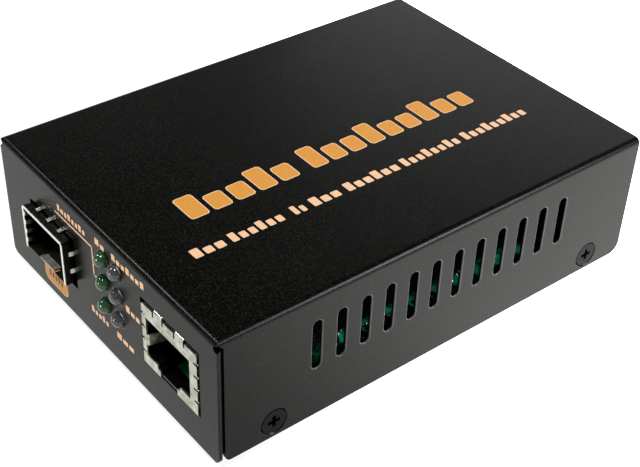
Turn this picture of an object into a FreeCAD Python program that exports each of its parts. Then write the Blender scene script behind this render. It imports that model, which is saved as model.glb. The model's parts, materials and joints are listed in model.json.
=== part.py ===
"""Fibre media converter: a folded steel case round one board, with a cage for a plug-in optical
module, a network jack, six indicator lights and a power inlet. Millimetres, +Z up, front towards -Y.
The origin is at the middle of the outline, on the surface that the feet stand on.
"""
import FreeCAD, Part
import math
import os
from FreeCAD import Vector

# Case sizes
body_width = 68.5
body_depth = 94.5
body_height = 26.0
cover_sheet = 0.75
bend_radius = 1.15
seam_gap = 0.55
relief_radius = 0.65
relief_drop = 1.3
front_skirt_radius = 1.2
side_front_radius = 1.2
side_rear_radius = 2.3

# Vent slots on both long sides
slot_count = 12
slot_pitch = 5.09
slot_width = 2.3
slot_length = 10.5
slot_mid_height = 15.6

# Base tray
base_sheet = 1.0
base_bend_radius = 0.6
base_side_gap = 0.15
base_end_gap = 0.3
flange_height = 6.9
rear_wall_top_gap = 0.15
rear_notch_height = 2.2
collar_wall = 0.7
collar_depth = 1.0

# Countersunk case screws
screw_head_radius = 2.4
screw_shank_radius = 1.5
screw_length = 4.6
screw_sink = 0.05
screw_ring_gap = 0.3
screw_height = 3.3
screw_front_inset = 10.9
screw_rear_inset = 9.6
thread_gap = 0.05
drive_reach = 1.25
drive_width = 0.75
drive_depth = 1.0

# Feet
foot_height = 1.5
foot_radius = 4.0
foot_chamfer = 0.5
foot_inset = 9.5

# Board and what holds it
board_thickness = 1.6
board_side_gap = 1.5
board_end_gap = 0.7
board_corner_radius = 1.0
standoff_height = 4.4
standoff_across = 5.0
standoff_shank_radius = 1.8
standoff_bore_radius = 1.25
standoff_side_inset = 6.6
standoff_front_inset = 26.5
standoff_rear_inset = 5.3
board_screw_head_radius = 2.4
board_screw_head_height = 1.6
board_screw_chamfer = 0.5
board_screw_shank_radius = 1.2
board_screw_length = 6.0
board_hole_gap = 0.3

# Cage for the optical module
cage_width = 14.0
cage_height = 9.2
cage_length = 47.0
cage_sheet = 0.25
cage_side_inset = 10.45
cage_proud = 2.0
cage_lift = 1.5
cage_bend_radius = 0.4
cage_cut_side = 0.75
cage_cut_top = 0.45
cage_cut_bottom = 1.35
cage_cut_radius = 0.8
cage_vent_radius = 0.9
cage_vent_pitch = 3.4
cage_vent_count = 4
cage_vent_row_gap = 7.0
cage_pin_width = 0.6
cage_pin_count = 4
cage_pin_reach = 1.2
cage_pin_front_inset = 2.4
cage_pin_rear_inset = 1.2
cage_rear_gap = 1.5
pin_hole_gap = 0.15

# Cage floor and its latch tongue
tongue_width = 5.0
tongue_length = 9.0
tongue_slit = 0.5
tongue_rise = 0.35
tongue_root = 2.25
tongue_crest_setback = 3.6
lip_setback = 0.15
lip_length = 1.25
latch_hole_width = 2.6
latch_hole_length = 2.2
latch_hole_setback = 3.6

# Spring collar round the mouth of the cage
collar_sheet = 0.15
collar_band = 0.9
finger_width = 0.9
finger_length = 5.0
finger_bulge = 0.3
finger_pitch_top = 3.8
finger_pitch_side = 3.7
inner_finger_length = 3.0
inner_finger_bulge = 0.45
inner_finger_width = 0.9
inner_finger_pitch = 1.95
inner_finger_count = 4

# Edge connector inside the cage
connector_side_gap = 0.95
connector_height = 5.6
connector_depth = 8.6
card_slot_wall = 1.1
card_slot_height = 1.3
card_slot_depth = 5.6
card_slot_height_above_board = 4.6
contact_count = 10
contact_end_margin = 0.94
contact_width = 0.32
contact_thickness = 0.2
contact_bow = 0.2
contact_gap = 0.1

# Network jack
jack_width = 15.9
jack_height = 12.85
jack_depth = 20.0
jack_side_inset = 5.25
jack_proud = 0.2
shield_sheet = 0.3
shield_bend_radius = 0.5
housing_gap = 0.05
jack_cut_side = 0.45
jack_cut_top = 0.75
jack_cut_bottom = 0.15
plug_side_wall = 1.65
plug_roof_wall = 2.55
plug_offset_x = -0.45
plug_sill_height = 2.1
plug_depth = 13.0
housing_lead_in = 0.5
latch_top_width = 6.6
latch_width = 5.0
latch_step_drop = 0.8
latch_sill_depth = 2.9
latch_sill_height = 0.5
shield_tab_width = 2.3
shield_tab_rise = 0.6
shield_tab_spacing = 6.1
shield_tab_length = 4.0
shield_slit_width = 0.45
shield_slit_depth = 0.95
shield_slit_pitch = 2.7
shield_slit_count = 4
side_tongue_height = 2.3
side_tongue_level = 4.5
side_tongue_length = 5.0
side_tongue_reach = 1.0
side_tongue_tip = 1.5
side_tongue_return = 0.4
side_tongue_room = 1.0
wire_count = 8
wire_pitch = 1.02
wire_width = 0.4
wire_thickness = 0.3
wire_sag = 3.2
wire_front_setback = 2.6
wire_rear_setback = 1.9
wire_end_gap = 1.0
wire_room_gap = 0.5

# Indicator lights
light_radius = 1.45
light_length = 5.2
light_flange_radius = 1.75
light_flange_length = 1.0
light_proud = 1.5
light_tip_flat = 0.03
light_hole_gap = 0.3
light_first_height = 3.4
light_row_pitch = 5.0
light_lean = 0.228
light_column_pitch = 4.43
lead_width = 0.5
lead_spread = 1.27
lead_first_bend = 4.2
lead_bend_step = 2.2
holder_wall = 1.2
holder_rear_depth = 1.0
wall_gap = 0.1

# Power inlet
inlet_width = 9.0
inlet_height = 10.8
inlet_depth = 14.0
inlet_side_inset = 10.75
inlet_axis_height = 6.4
inlet_bore_radius = 3.15
inlet_bore_depth = 9.5
inlet_collar_radius = 3.9
inlet_hole_gap = 0.25
inlet_pin_radius = 1.0
inlet_pin_length = 8.5
inlet_pin_chamfer = 0.5
inlet_edge_radius = 0.8
inlet_spring_thickness = 0.3
inlet_spring_width = 2.0
inlet_spring_setback = 2.0
inlet_spring_fold = 1.0

# Chips and other parts on the board
part_gap = 1.5
board_edge_margin = 0.8
pin_one_corner = 0.4
phy_size = 14.0
phy_height = 1.6
pad_size = 13.0
pad_thickness = 0.5
sink_size = 20.0
sink_base = 1.8
sink_fin_height = 6.0
sink_fin_thickness = 0.9
sink_fin_count = 8
controller_size = 9.0
controller_height = 1.1
memory_length = 5.2
memory_width = 4.0
memory_height = 1.6
memory_lead_reach = 1.0
memory_lead_count = 4
memory_lead_pitch = 1.27
memory_lead_width = 0.42
memory_lead_thickness = 0.21
transformer_length = 15.2
transformer_width = 9.4
transformer_height = 5.6
transformer_edge_radius = 0.6
inductor_size = 6.4
inductor_height = 3.0
inductor_corner_radius = 1.3
inductor_core_radius = 2.2
inductor_groove_width = 0.45
inductor_groove_depth = 0.45
inductor_count = 3
can_radius = 3.1
can_height = 7.4
can_base_height = 1.2
can_base_margin = 0.12
can_base_corner = 0.8
can_neck_level = 2.4
can_neck_width = 0.7
can_neck_depth = 0.22
can_chamfer = 0.4
can_count = 3
crystal_length = 5.0
crystal_width = 3.2
crystal_height = 1.2
crystal_corner_radius = 0.6
fuse_length = 4.5
fuse_width = 3.2
fuse_height = 1.4
fuse_corner_radius = 0.3
regulator_size = 3.0
regulator_height = 0.9
regulator_count = 2
chip_length = 1.6
chip_width = 0.8
chip_height = 0.5
chip_row_pitch = 2.2
chip_row_count = 10

# Levels and planes that follow from the sizes
edge_level = foot_height
top_level = edge_level + body_height
floor_level = edge_level + base_sheet
board_under = floor_level + standoff_height
board_top = board_under + board_thickness
front_y = (cage_proud - body_depth) / 2
rear_y = front_y + body_depth
half_width = body_width / 2
inner_half_width = half_width - cover_sheet
inner_front_y = front_y + cover_sheet
inner_rear_y = rear_y - base_sheet
flange_outer_x = inner_half_width - base_side_gap
flange_inner_x = flange_outer_x - base_sheet
board_half_width = flange_inner_x - board_side_gap
board_front_y = inner_front_y + board_end_gap
board_rear_y = inner_rear_y - board_end_gap
through = 1.0
tiny = 1e-6

PLANES = {
    "X": lambda u, v, w: Vector(w, u, v),
    "Y": lambda u, v, w: Vector(u, w, v),
    "Z": lambda u, v, w: Vector(u, v, w),
}
NORMALS = {"X": Vector(1, 0, 0), "Y": Vector(0, 1, 0), "Z": Vector(0, 0, 1)}


def save(shape, name):
    """Write one named piece."""
    shape.exportStep("parts/" + name + ".step")


def box(x0, x1, y0, y1, z0, z1):
    """A block between two corners."""
    return Part.makeBox(x1 - x0, y1 - y0, z1 - z0, Vector(x0, y0, z0))


def rounded_wire(points, radii, place):
    """A closed outline through the points, with a tangent arc of its own radius at each corner."""
    corners = [complex(*point) for point in points]
    starts = []
    middles = []
    ends = []
    for index, corner in enumerate(corners):
        before = corners[index - 1] - corner
        after = corners[(index + 1) % len(corners)] - corner
        before /= abs(before)
        after /= abs(after)
        half_turn = math.acos(max(-1.0, min(1.0, (before * after.conjugate()).real))) / 2
        radius = radii[index]
        reach = radius / math.tan(half_turn) if radius else 0.0
        starts.append(corner + before * reach)
        ends.append(corner + after * reach)
        bisector = before + after
        if radius:
            depth = radius / math.sin(half_turn) - radius
            middles.append(corner + bisector / abs(bisector) * depth)
        else:
            middles.append(corner)
    edges = []
    for index, start in enumerate(starts):
        if radii[index]:
            arc_points = [place(p.real, p.imag) for p in (start, middles[index], ends[index])]
            edges.append(Part.Arc(*arc_points).toShape())
        following = starts[(index + 1) % len(starts)]
        if abs(following - ends[index]) > tiny:
            first = place(ends[index].real, ends[index].imag)
            second = place(following.real, following.imag)
            edges.append(Part.LineSegment(first, second).toShape())
    return Part.Wire(edges)


def prism(points, axis, start, end, radii=None):
    """An outline with optional corner radii, carried along an axis from start to end."""
    if radii is None:
        radii = [0.0] * len(points)
    if not isinstance(radii, (list, tuple)):
        radii = [radii] * len(points)
    low = min(start, end)
    wire = rounded_wire(points, radii, lambda u, v: PLANES[axis](u, v, low))
    return Part.Face(wire).extrude(NORMALS[axis] * abs(end - start))


def rectangle(u0, u1, v0, v1):
    """The four corners of a rectangle."""
    return [(u0, v0), (u1, v0), (u1, v1), (u0, v1)]


def offset_path(path, distance):
    """An open path moved sideways by a distance, mitred at its corners."""
    points = [complex(*point) for point in path]
    steps = [(b - a) / abs(b - a) * 1j for a, b in zip(points, points[1:])]
    moved = [points[0] + steps[0] * distance]
    for point, before, after in zip(points[1:], steps, steps[1:]):
        share = 1 + (before * after.conjugate()).real
        moved.append(point + (before + after) / share * distance)
    moved.append(points[-1] + steps[-1] * distance)
    return moved


def bent_strip(path, thickness, bend, axis, start, end):
    """A strip of sheet folded along a path, with a true inner and outer radius at each fold."""
    left = offset_path(path, thickness / 2)
    right = offset_path(path, -thickness / 2)
    turns = [0.0]
    points = [complex(*point) for point in path]
    for before, point, after in zip(points, points[1:], points[2:]):
        turns.append(((point - before).conjugate() * (after - point)).imag)
    turns.append(0.0)
    left_radii = [0.0 if not turn else (bend if turn > 0 else bend + thickness) for turn in turns]
    right_radii = [0.0 if not turn else (bend + thickness if turn > 0 else bend) for turn in turns]
    outline = [(p.real, p.imag) for p in left + right[::-1]]
    return prism(outline, axis, start, end, left_radii + right_radii[::-1])


def arched_strip(start_point, end_point, bulge, thickness, axis, low, high):
    """A thin spring that bows out between two points: one arc, thickened, carried along an axis."""
    first = complex(*start_point)
    last = complex(*end_point)
    side = (last - first) / abs(last - first) * 1j
    middle = (first + last) / 2 + side * bulge
    lift = side * thickness
    place = PLANES[axis]

    def put(point):
        return place(point.real, point.imag, low)

    lower = Part.Arc(put(first), put(middle), put(last)).toShape()
    upper = Part.Arc(put(last + lift), put(middle + lift), put(first + lift)).toShape()
    rise = Part.LineSegment(put(last), put(last + lift)).toShape()
    fall = Part.LineSegment(put(first + lift), put(first)).toShape()
    face = Part.Face(Part.Wire([lower, rise, upper, fall]))
    return face.extrude(NORMALS[axis] * (high - low))


def cylinder(radius, start, end):
    """A round bar between two points."""
    way = end - start
    return Part.makeCylinder(radius, way.Length, start, way)


def turned(outline, centre, axis, radii=None):
    """An outline of radius and distance, turned once round an axis through the centre."""
    if radii is None:
        radii = [0.0] * len(outline)
    wire = rounded_wire(outline, radii, lambda r, s: Vector(r, 0, s))
    solid = Part.Face(wire).revolve(Vector(0, 0, 0), Vector(0, 0, 1), 360)
    solid.Placement = FreeCAD.Placement(centre, FreeCAD.Rotation(Vector(0, 0, 1), axis))
    return solid


def group(solids):
    """Separate solids kept together as one set."""
    return Part.Compound(solids)


def rounded_block(reach, y0, y1, z0, z1, radius):
    """A block whose front and long top edges are bend-rounded: two profiles crossed."""
    across = prism(rectangle(-reach, reach, z0, z1), "Y", y0, y1, [0.0, 0.0, radius, radius])
    along = prism(rectangle(y0, y1, z0, z1), "X", -reach, reach, [0.0, 0.0, 0.0, radius])
    return across.common(along)


def corner_trim(u, v, u_way, v_way, radius, axis, start, end):
    """What a rounded corner leaves out of a square one."""
    centre_u = u + u_way * radius
    centre_v = v + v_way * radius
    square = rectangle(min(u, centre_u), max(u, centre_u), min(v, centre_v), max(v, centre_v))
    place = PLANES[axis]
    rod = cylinder(radius, place(centre_u, centre_v, start), place(centre_u, centre_v, end))
    return prism(square, axis, start, end).cut(rod)


def obround(mid_u, mid_v, width, length, axis, start, end):
    """A slot with round ends, standing along v."""
    points = rectangle(mid_u - width / 2, mid_u + width / 2, mid_v - length / 2, mid_v + length / 2)
    return prism(points, axis, start, end, width / 2)


def cross_recess(tip, axis):
    """A cross drive pocket: two crossed bars trimmed by a taper."""
    bar = Part.makeBox(2 * drive_reach, drive_width, drive_depth + through,
                       Vector(-drive_reach, -drive_width / 2, -drive_depth))
    cross = bar.copy()
    bar.rotate(Vector(0, 0, 0), Vector(0, 0, 1), 90)
    cross = cross.fuse(bar)
    taper = Part.makeCone(drive_width, drive_reach, drive_depth, Vector(0, 0, -drive_depth))
    mouth = Part.makeCylinder(drive_reach, through)
    pocket = cross.common(taper.fuse(mouth))
    pocket.Placement = FreeCAD.Placement(tip, FreeCAD.Rotation(Vector(0, 0, 1), axis))
    return pocket


def side_screw_points():
    """Where the four case screws sit on the two side faces, with the way each points out."""
    points = []
    for side in (-1, 1):
        for y in (front_y + screw_front_inset, rear_y - screw_rear_inset):
            points.append((Vector(side * half_width, y, edge_level + screw_height), side))
    return points


def light_points():
    """Name and centre of each indicator light on the front face."""
    rows = ("bottom", "middle", "top")
    points = []
    for column, colour in enumerate(("green", "clear")):
        for row, row_name in enumerate(rows):
            x = light_left_x + column * light_column_pitch
            z = board_top + light_first_height + row * light_row_pitch
            points.append(("led_" + colour + "_" + row_name, x, z, row))
    return points


def standoff_points():
    """Where the board is screwed down, as x and y."""
    x = half_width - standoff_side_inset
    return [(side * x, y) for side in (-1, 1)
            for y in (front_y + standoff_front_inset, rear_y - standoff_rear_inset)]


# Values of the cage that several pieces share
cage_front_y = front_y - cage_proud + collar_sheet
cage_bottom = board_top + cage_lift
cage_top = cage_bottom + cage_height
cage_low_x = cage_side_inset - half_width
cage_high_x = cage_low_x + cage_width
cage_centre_x = cage_low_x + cage_width / 2
cage_rear_y = cage_front_y + cage_length
connector_rear_y = cage_rear_y - 2 * cage_sheet
connector_front_y = connector_rear_y - connector_depth
card_slot_level = board_top + card_slot_height_above_board
connector_width = cage_width - 2 * (cage_sheet + connector_side_gap)
card_slot_width = connector_width - 2 * card_slot_wall
contact_room = contact_bow + contact_thickness + contact_gap

# Values of the jack that several pieces share
jack_high_x = half_width - jack_side_inset
jack_low_x = jack_high_x - jack_width
jack_centre_x = jack_high_x - jack_width / 2
jack_front_y = front_y - jack_proud
jack_rear_y = jack_front_y + jack_depth
jack_top = board_top + jack_height
plug_width = jack_width - 2 * plug_side_wall
plug_centre_x = jack_centre_x + plug_offset_x
plug_bottom = board_top + plug_sill_height
plug_top = jack_top - plug_roof_wall
wire_roof = jack_top - 2 * shield_sheet - wire_room_gap / 2 - wire_thickness

# Values of the inlet and the lights that several pieces share
inlet_x = inlet_side_inset + inlet_width / 2 - half_width
inlet_axis_z = board_top + inlet_axis_height
inlet_face_y = inner_rear_y - wall_gap
inlet_block_y = inlet_face_y - inlet_depth
inlet_bore_end_y = rear_y - inlet_bore_depth
light_tip_y = front_y - light_proud
light_base_y = light_tip_y + light_length
holder_width = light_column_pitch + 2 * (light_flange_radius + holder_wall)
lights_room = jack_low_x - cage_high_x - holder_width
holder_low_x = cage_high_x + lights_room * (1 + light_lean) / 2
light_left_x = holder_low_x + holder_wall + light_flange_radius


def cage_pin_points():
    """Where the press-in pins of the cage go down through the board, as x and y."""
    first = board_front_y + cage_pin_front_inset
    last = cage_rear_y - cage_pin_rear_inset
    step = (last - first) / (cage_pin_count - 1)
    sides = (cage_low_x + cage_sheet / 2, cage_high_x - cage_sheet / 2)
    return [(x, first + step * index) for x in sides for index in range(cage_pin_count)]


def latch_outline(low):
    """Outline of the plug opening with its stepped notch for the plug's latch."""
    left = plug_centre_x - plug_width / 2
    right = plug_centre_x + plug_width / 2
    step_level = plug_bottom - latch_step_drop
    return [
        (left, plug_bottom), (plug_centre_x - latch_top_width / 2, plug_bottom),
        (plug_centre_x - latch_top_width / 2, step_level),
        (plug_centre_x - latch_width / 2, step_level),
        (plug_centre_x - latch_width / 2, low), (plug_centre_x + latch_width / 2, low),
        (plug_centre_x + latch_width / 2, step_level),
        (plug_centre_x + latch_top_width / 2, step_level),
        (plug_centre_x + latch_top_width / 2, plug_bottom), (right, plug_bottom),
        (right, plug_top), (left, plug_top),
    ]


def vent_slots():
    """The row of slots on both long sides."""
    first = front_y + body_depth / 2 - slot_pitch * (slot_count - 1) / 2
    level = edge_level + slot_mid_height
    cuts = []
    for side in (-1, 1):
        inside = side * (inner_half_width - through)
        outside = side * (half_width + through)
        for index in range(slot_count):
            y = first + slot_pitch * index
            cuts.append(obround(y, level, slot_width, slot_length, "X", inside, outside))
    return cuts


def countersink(point, side, depth, gap):
    """A hole with a conical seat for a case screw, cut inwards from a side face."""
    inward = Vector(-side, 0, 0)
    mouth = screw_head_radius + gap
    seat = mouth - screw_shank_radius - thread_gap
    cone = Part.makeCone(mouth, screw_shank_radius + thread_gap, seat, point, inward)
    rod = cylinder(screw_shank_radius + thread_gap, point, point + inward * depth)
    return cone.fuse(rod)


def front_cuts():
    """Openings of the front face: cage, jack and six lights."""
    near = front_y - through
    far = inner_front_y + through
    cage_cut = rectangle(cage_low_x - cage_cut_side, cage_high_x + cage_cut_side,
                         cage_bottom - cage_cut_bottom, cage_top + cage_cut_top)
    jack_cut = rectangle(jack_low_x - jack_cut_side, jack_high_x + jack_cut_side,
                         board_top - jack_cut_bottom, jack_top + jack_cut_top)
    cuts = [
        prism(cage_cut, "Y", near, far, [0.0, 0.0, cage_cut_radius, cage_cut_radius]),
        prism(jack_cut, "Y", near, far),
    ]
    radius = light_radius + light_hole_gap
    for _, x, z, _ in light_points():
        cuts.append(cylinder(radius, Vector(x, near, z), Vector(x, far, z)))
    return cuts


def seam_cuts():
    """Open seams at both front corners, each ending in a round bend relief."""
    cuts = []
    for side in (-1, 1):
        inner_x = side * (inner_half_width - through)
        outer_x = side * (half_width + through)
        seam = rectangle(min(inner_x, outer_x), max(inner_x, outer_x), inner_front_y,
                         inner_front_y + seam_gap)
        cuts.append(prism(seam, "Z", edge_level - through, top_level - relief_drop))
        corner = Vector(side * half_width, front_y, top_level - relief_drop)
        outward = Vector(side, -1, 0)
        reach = bend_radius + through
        cuts.append(cylinder(relief_radius, corner - outward * reach, corner + outward * reach))
    return cuts


def skirt_trims():
    """Rounded lower corners of the front wall and of both side walls."""
    trims = []
    side_ends = ((inner_front_y + seam_gap, 1, side_front_radius), (rear_y, -1, side_rear_radius))
    for side in (-1, 1):
        trims.append(corner_trim(side * half_width, edge_level, -side, 1, front_skirt_radius, "Y",
                                 front_y - through, inner_front_y))
        inner_x = side * inner_half_width
        outer_x = side * (half_width + through)
        for y, way, radius in side_ends:
            trims.append(corner_trim(y, edge_level, way, 1, radius, "X", min(inner_x, outer_x),
                                     max(inner_x, outer_x)))
    return trims


def cover():
    """Four-sided cover folded from one sheet: top, front and both sides, open at the rear."""
    outer = rounded_block(half_width, front_y, rear_y, edge_level, top_level, bend_radius)
    inner = rounded_block(inner_half_width, inner_front_y, rear_y + through, edge_level - through,
                          top_level - cover_sheet, bend_radius - cover_sheet)
    shell = outer.cut(inner)
    sinks = [countersink(point, side, cover_sheet + through, screw_ring_gap)
             for point, side in side_screw_points()]
    return shell.cut(vent_slots() + front_cuts() + seam_cuts() + skirt_trims() + sinks)


def rear_wall(bend_y):
    """Rear wall of the tray, bent up from its floor: notched below, rounded above, with one hole."""
    mid_y = rear_y - base_sheet / 2
    mid_z = edge_level + base_sheet / 2
    upper = top_level - cover_sheet - rear_wall_top_gap
    path = [(bend_y - through, mid_z), (mid_y, mid_z), (mid_y, upper)]
    wall = bent_strip(path, base_sheet, base_bend_radius, "X", -flange_outer_x, flange_outer_x)
    cuts = [cylinder(inlet_collar_radius + inlet_hole_gap,
                     Vector(inlet_x, inner_rear_y - through, inlet_axis_z),
                     Vector(inlet_x, rear_y + through, inlet_axis_z))]
    for side in (-1, 1):
        cuts.append(corner_trim(side * flange_outer_x, upper, -side, -1, bend_radius, "Y",
                                inner_rear_y - through, rear_y + through))
        inner_x = side * (flange_inner_x - base_bend_radius)
        outer_x = side * (flange_outer_x + through)
        cuts.append(box(min(inner_x, outer_x), max(inner_x, outer_x), bend_y - 2 * through,
                        rear_y + through, edge_level - through, edge_level + rear_notch_height))
    return wall.cut(cuts)


def base_plate():
    """Tray under the board: floor, two side flanges with drawn screw holes, and a rear wall."""
    mid_x = flange_outer_x - base_sheet / 2
    mid_z = edge_level + base_sheet / 2
    upper = edge_level + flange_height
    path = [(-mid_x, upper), (-mid_x, mid_z), (mid_x, mid_z), (mid_x, upper)]
    front = inner_front_y + base_end_gap
    bend_y = inner_rear_y - base_bend_radius
    tray = bent_strip(path, base_sheet, base_bend_radius, "Y", front, bend_y)
    tray = tray.fuse(rear_wall(bend_y))
    cuts = []
    for point, side in side_screw_points():
        inward = Vector(-side, 0, 0)
        face = point + inward * (half_width - flange_inner_x)
        boss = cylinder(screw_shank_radius + collar_wall, face - inward * base_sheet / 2,
                        face + inward * collar_depth)
        tray = tray.fuse(boss)
        cuts.append(countersink(point, side, screw_length + through, screw_ring_gap))
    for x, y in standoff_points():
        cuts.append(cylinder(standoff_shank_radius, Vector(x, y, edge_level - through),
                             Vector(x, y, floor_level + through)))
    return tray.cut(cuts).removeSplitter()


def case_screws():
    """Four countersunk cross-recess screws, one solid each."""
    screws = []
    for point, side in side_screw_points():
        outward = Vector(side, 0, 0)
        head_depth = screw_head_radius - screw_shank_radius
        outline = [(0, 0), (screw_head_radius, 0), (screw_shank_radius, -head_depth),
                   (screw_shank_radius, -screw_length + thread_gap), (0, -screw_length)]
        seat = point - outward * screw_sink
        blank = turned(outline, seat, outward)
        screws.append(blank.cut(cross_recess(seat, outward)))
    return group(screws)


def foot(x, y):
    """A round stick-on rubber foot."""
    outline = [(0, 0), (foot_radius - foot_chamfer, 0), (foot_radius, foot_chamfer),
               (foot_radius, foot_height), (0, foot_height)]
    return turned(outline, Vector(x, y, 0), Vector(0, 0, 1))


def circuit_board():
    """Board with rounded corners, screw holes and the holes of the cage pins."""
    points = rectangle(-board_half_width, board_half_width, board_front_y, board_rear_y)
    board = prism(points, "Z", board_under, board_top, board_corner_radius)
    low = board_under - through
    high = board_top + through
    cuts = []
    for x, y in standoff_points():
        cuts.append(cylinder(board_screw_shank_radius + board_hole_gap, Vector(x, y, low),
                             Vector(x, y, high)))
    reach = cage_pin_width / 2 + pin_hole_gap
    for x, y in cage_pin_points():
        cuts.append(box(x - reach, x + reach, y - reach, y + reach, low, high))
    return board.cut(cuts)


def board_standoffs():
    """Four hexagonal spacers swaged into the floor of the tray."""
    spacers = []
    corner = standoff_across / math.sqrt(3)
    for x, y in standoff_points():
        turns = [math.radians(60 * k) for k in range(6)]
        points = [(x + corner * math.cos(a), y + corner * math.sin(a)) for a in turns]
        spacer = prism(points, "Z", floor_level, board_under)
        shank = cylinder(standoff_shank_radius, Vector(x, y, edge_level), Vector(x, y, floor_level))
        bore = cylinder(standoff_bore_radius, Vector(x, y, floor_level),
                        Vector(x, y, board_under + through))
        spacers.append(spacer.fuse(shank).cut(bore).removeSplitter())
    return group(spacers)


def board_screws():
    """Four pan-head screws that hold the board on its spacers."""
    screws = []
    up = Vector(0, 0, 1)
    for x, y in standoff_points():
        outline = [(0, -board_screw_length), (board_screw_shank_radius, -board_screw_length),
                   (board_screw_shank_radius, 0), (board_screw_head_radius, 0),
                   (board_screw_head_radius, board_screw_head_height - board_screw_chamfer),
                   (board_screw_head_radius - board_screw_chamfer, board_screw_head_height),
                   (0, board_screw_head_height)]
        seat = Vector(x, y, board_top)
        blank = turned(outline, seat, up)
        screws.append(blank.cut(cross_recess(seat + up * board_screw_head_height, up)))
    return group(screws)


def sfp_cage():
    """Upper shell of the cage: roof, sides and rear folded from one sheet, with press-in pins."""
    low_x = cage_low_x + cage_sheet / 2
    high_x = cage_high_x - cage_sheet / 2
    roof = cage_top - cage_sheet / 2
    path = [(low_x, cage_bottom), (low_x, roof), (high_x, roof), (high_x, cage_bottom)]
    shell = bent_strip(path, cage_sheet, cage_bend_radius, "Y", cage_front_y, cage_rear_y)
    back = box(low_x, high_x, cage_rear_y - cage_sheet, cage_rear_y, cage_bottom + cage_rear_gap, roof)
    shell = shell.fuse(back)
    for x, y in cage_pin_points():
        pin = box(x - cage_sheet / 2, x + cage_sheet / 2, y - cage_pin_width / 2, y + cage_pin_width / 2,
                  board_under - cage_pin_reach, cage_bottom + cage_sheet)
        shell = shell.fuse(pin)
    middle = (cage_front_y + cage_rear_y) / 2
    cuts = []
    for row in (-1, 1):
        for index in range(cage_vent_count):
            y = middle + (index - (cage_vent_count - 1) / 2) * cage_vent_pitch
            spot = Vector(cage_centre_x + row * cage_vent_row_gap / 2, y, roof - through)
            cuts.append(cylinder(cage_vent_radius, spot, spot + Vector(0, 0, 2 * through)))
    return shell.cut(cuts).removeSplitter()


def sfp_cage_floor():
    """Floor of the cage with a latch tongue in the middle, whose flat lip lies in the mouth."""
    low_x = cage_low_x + cage_sheet
    high_x = cage_high_x - cage_sheet
    top = cage_bottom + cage_sheet
    plate = box(low_x, high_x, cage_front_y, connector_front_y - cage_sheet, cage_bottom, top)
    slit_out = tongue_width / 2 + tongue_slit
    window = box(cage_centre_x - slit_out, cage_centre_x + slit_out, cage_front_y - through,
                 cage_front_y + tongue_length, cage_bottom - through, top + through)
    plate = plate.cut(window)
    mid = cage_bottom + cage_sheet / 2
    lip_y = cage_front_y + lip_setback
    root_y = cage_front_y + tongue_length
    path = [(root_y, mid), (root_y - tongue_root, mid),
            (cage_front_y + tongue_crest_setback, mid + tongue_rise), (lip_y + lip_length, mid),
            (lip_y, mid)]
    tongue = bent_strip(path, cage_sheet, cage_sheet, "X", cage_centre_x - tongue_width / 2,
                        cage_centre_x + tongue_width / 2)
    hole_y = cage_front_y + latch_hole_setback
    hole_half = latch_hole_width / 2
    hole = [(cage_centre_x - hole_half, hole_y), (cage_centre_x + hole_half, hole_y),
            (cage_centre_x, hole_y + latch_hole_length)]
    catch = prism(hole, "Z", cage_bottom - through, top + through)
    return plate.fuse(tongue.cut(catch)).removeSplitter()


def sfp_spring_collar():
    """Springy collar folded over the mouth of the cage, with fingers that reach for the cut-out."""
    gap_x = cage_high_x + collar_sheet
    outer = rectangle(cage_low_x - collar_sheet, gap_x, cage_bottom, cage_top + collar_sheet)
    cage_corner = cage_bend_radius + cage_sheet
    radii = [0.0, 0.0, cage_corner + collar_sheet, cage_corner + collar_sheet]
    mouth_y = cage_front_y - collar_sheet
    ring = prism(outer, "Y", mouth_y, cage_front_y + collar_band, radii)
    cage_body = rectangle(cage_low_x, cage_high_x, cage_bottom - through, cage_top)
    body_radii = [0.0, 0.0, cage_corner, cage_corner]
    ring = ring.cut(prism(cage_body, "Y", cage_front_y, cage_front_y + collar_band + through, body_radii))
    rim = cage_sheet + collar_sheet
    mouth = rectangle(cage_low_x + rim, cage_high_x - rim, cage_bottom - through, cage_top - rim)
    collar = ring.cut(prism(mouth, "Y", mouth_y - through, cage_front_y + collar_band, 0.0))
    start = cage_front_y + collar_band - collar_sheet
    end = start + finger_length
    half = finger_width / 2
    for index in (-1, 0, 1):
        x = cage_centre_x + index * finger_pitch_top
        collar = collar.fuse(arched_strip((start, cage_top), (end, cage_top), finger_bulge,
                                          collar_sheet, "X", x - half, x + half))
    middle_z = (cage_bottom + cage_top) / 2
    for index in (-1, 1):
        z = middle_z + index * finger_pitch_side / 2
        collar = collar.fuse(arched_strip((cage_low_x, start), (cage_low_x, end), finger_bulge,
                                          collar_sheet, "Z", z - half, z + half))
        collar = collar.fuse(arched_strip((cage_high_x, end), (cage_high_x, start), finger_bulge,
                                          collar_sheet, "Z", z - half, z + half))
    return collar.fuse(inner_fingers(middle_z)).removeSplitter()


def inner_fingers(middle_z):
    """Short springs that bow into the mouth from the side walls, to touch the module."""
    springs = []
    start = cage_front_y - collar_sheet
    end = start + inner_finger_length
    half = inner_finger_width / 2
    left = cage_low_x + cage_sheet
    right = cage_high_x - cage_sheet
    for index in range(inner_finger_count):
        z = middle_z + (index - (inner_finger_count - 1) / 2) * inner_finger_pitch
        springs.append(arched_strip((left, end), (left, start), inner_finger_bulge, collar_sheet,
                                    "Z", z - half, z + half))
        springs.append(arched_strip((right, start), (right, end), inner_finger_bulge, collar_sheet,
                                    "Z", z - half, z + half))
    return springs


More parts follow.
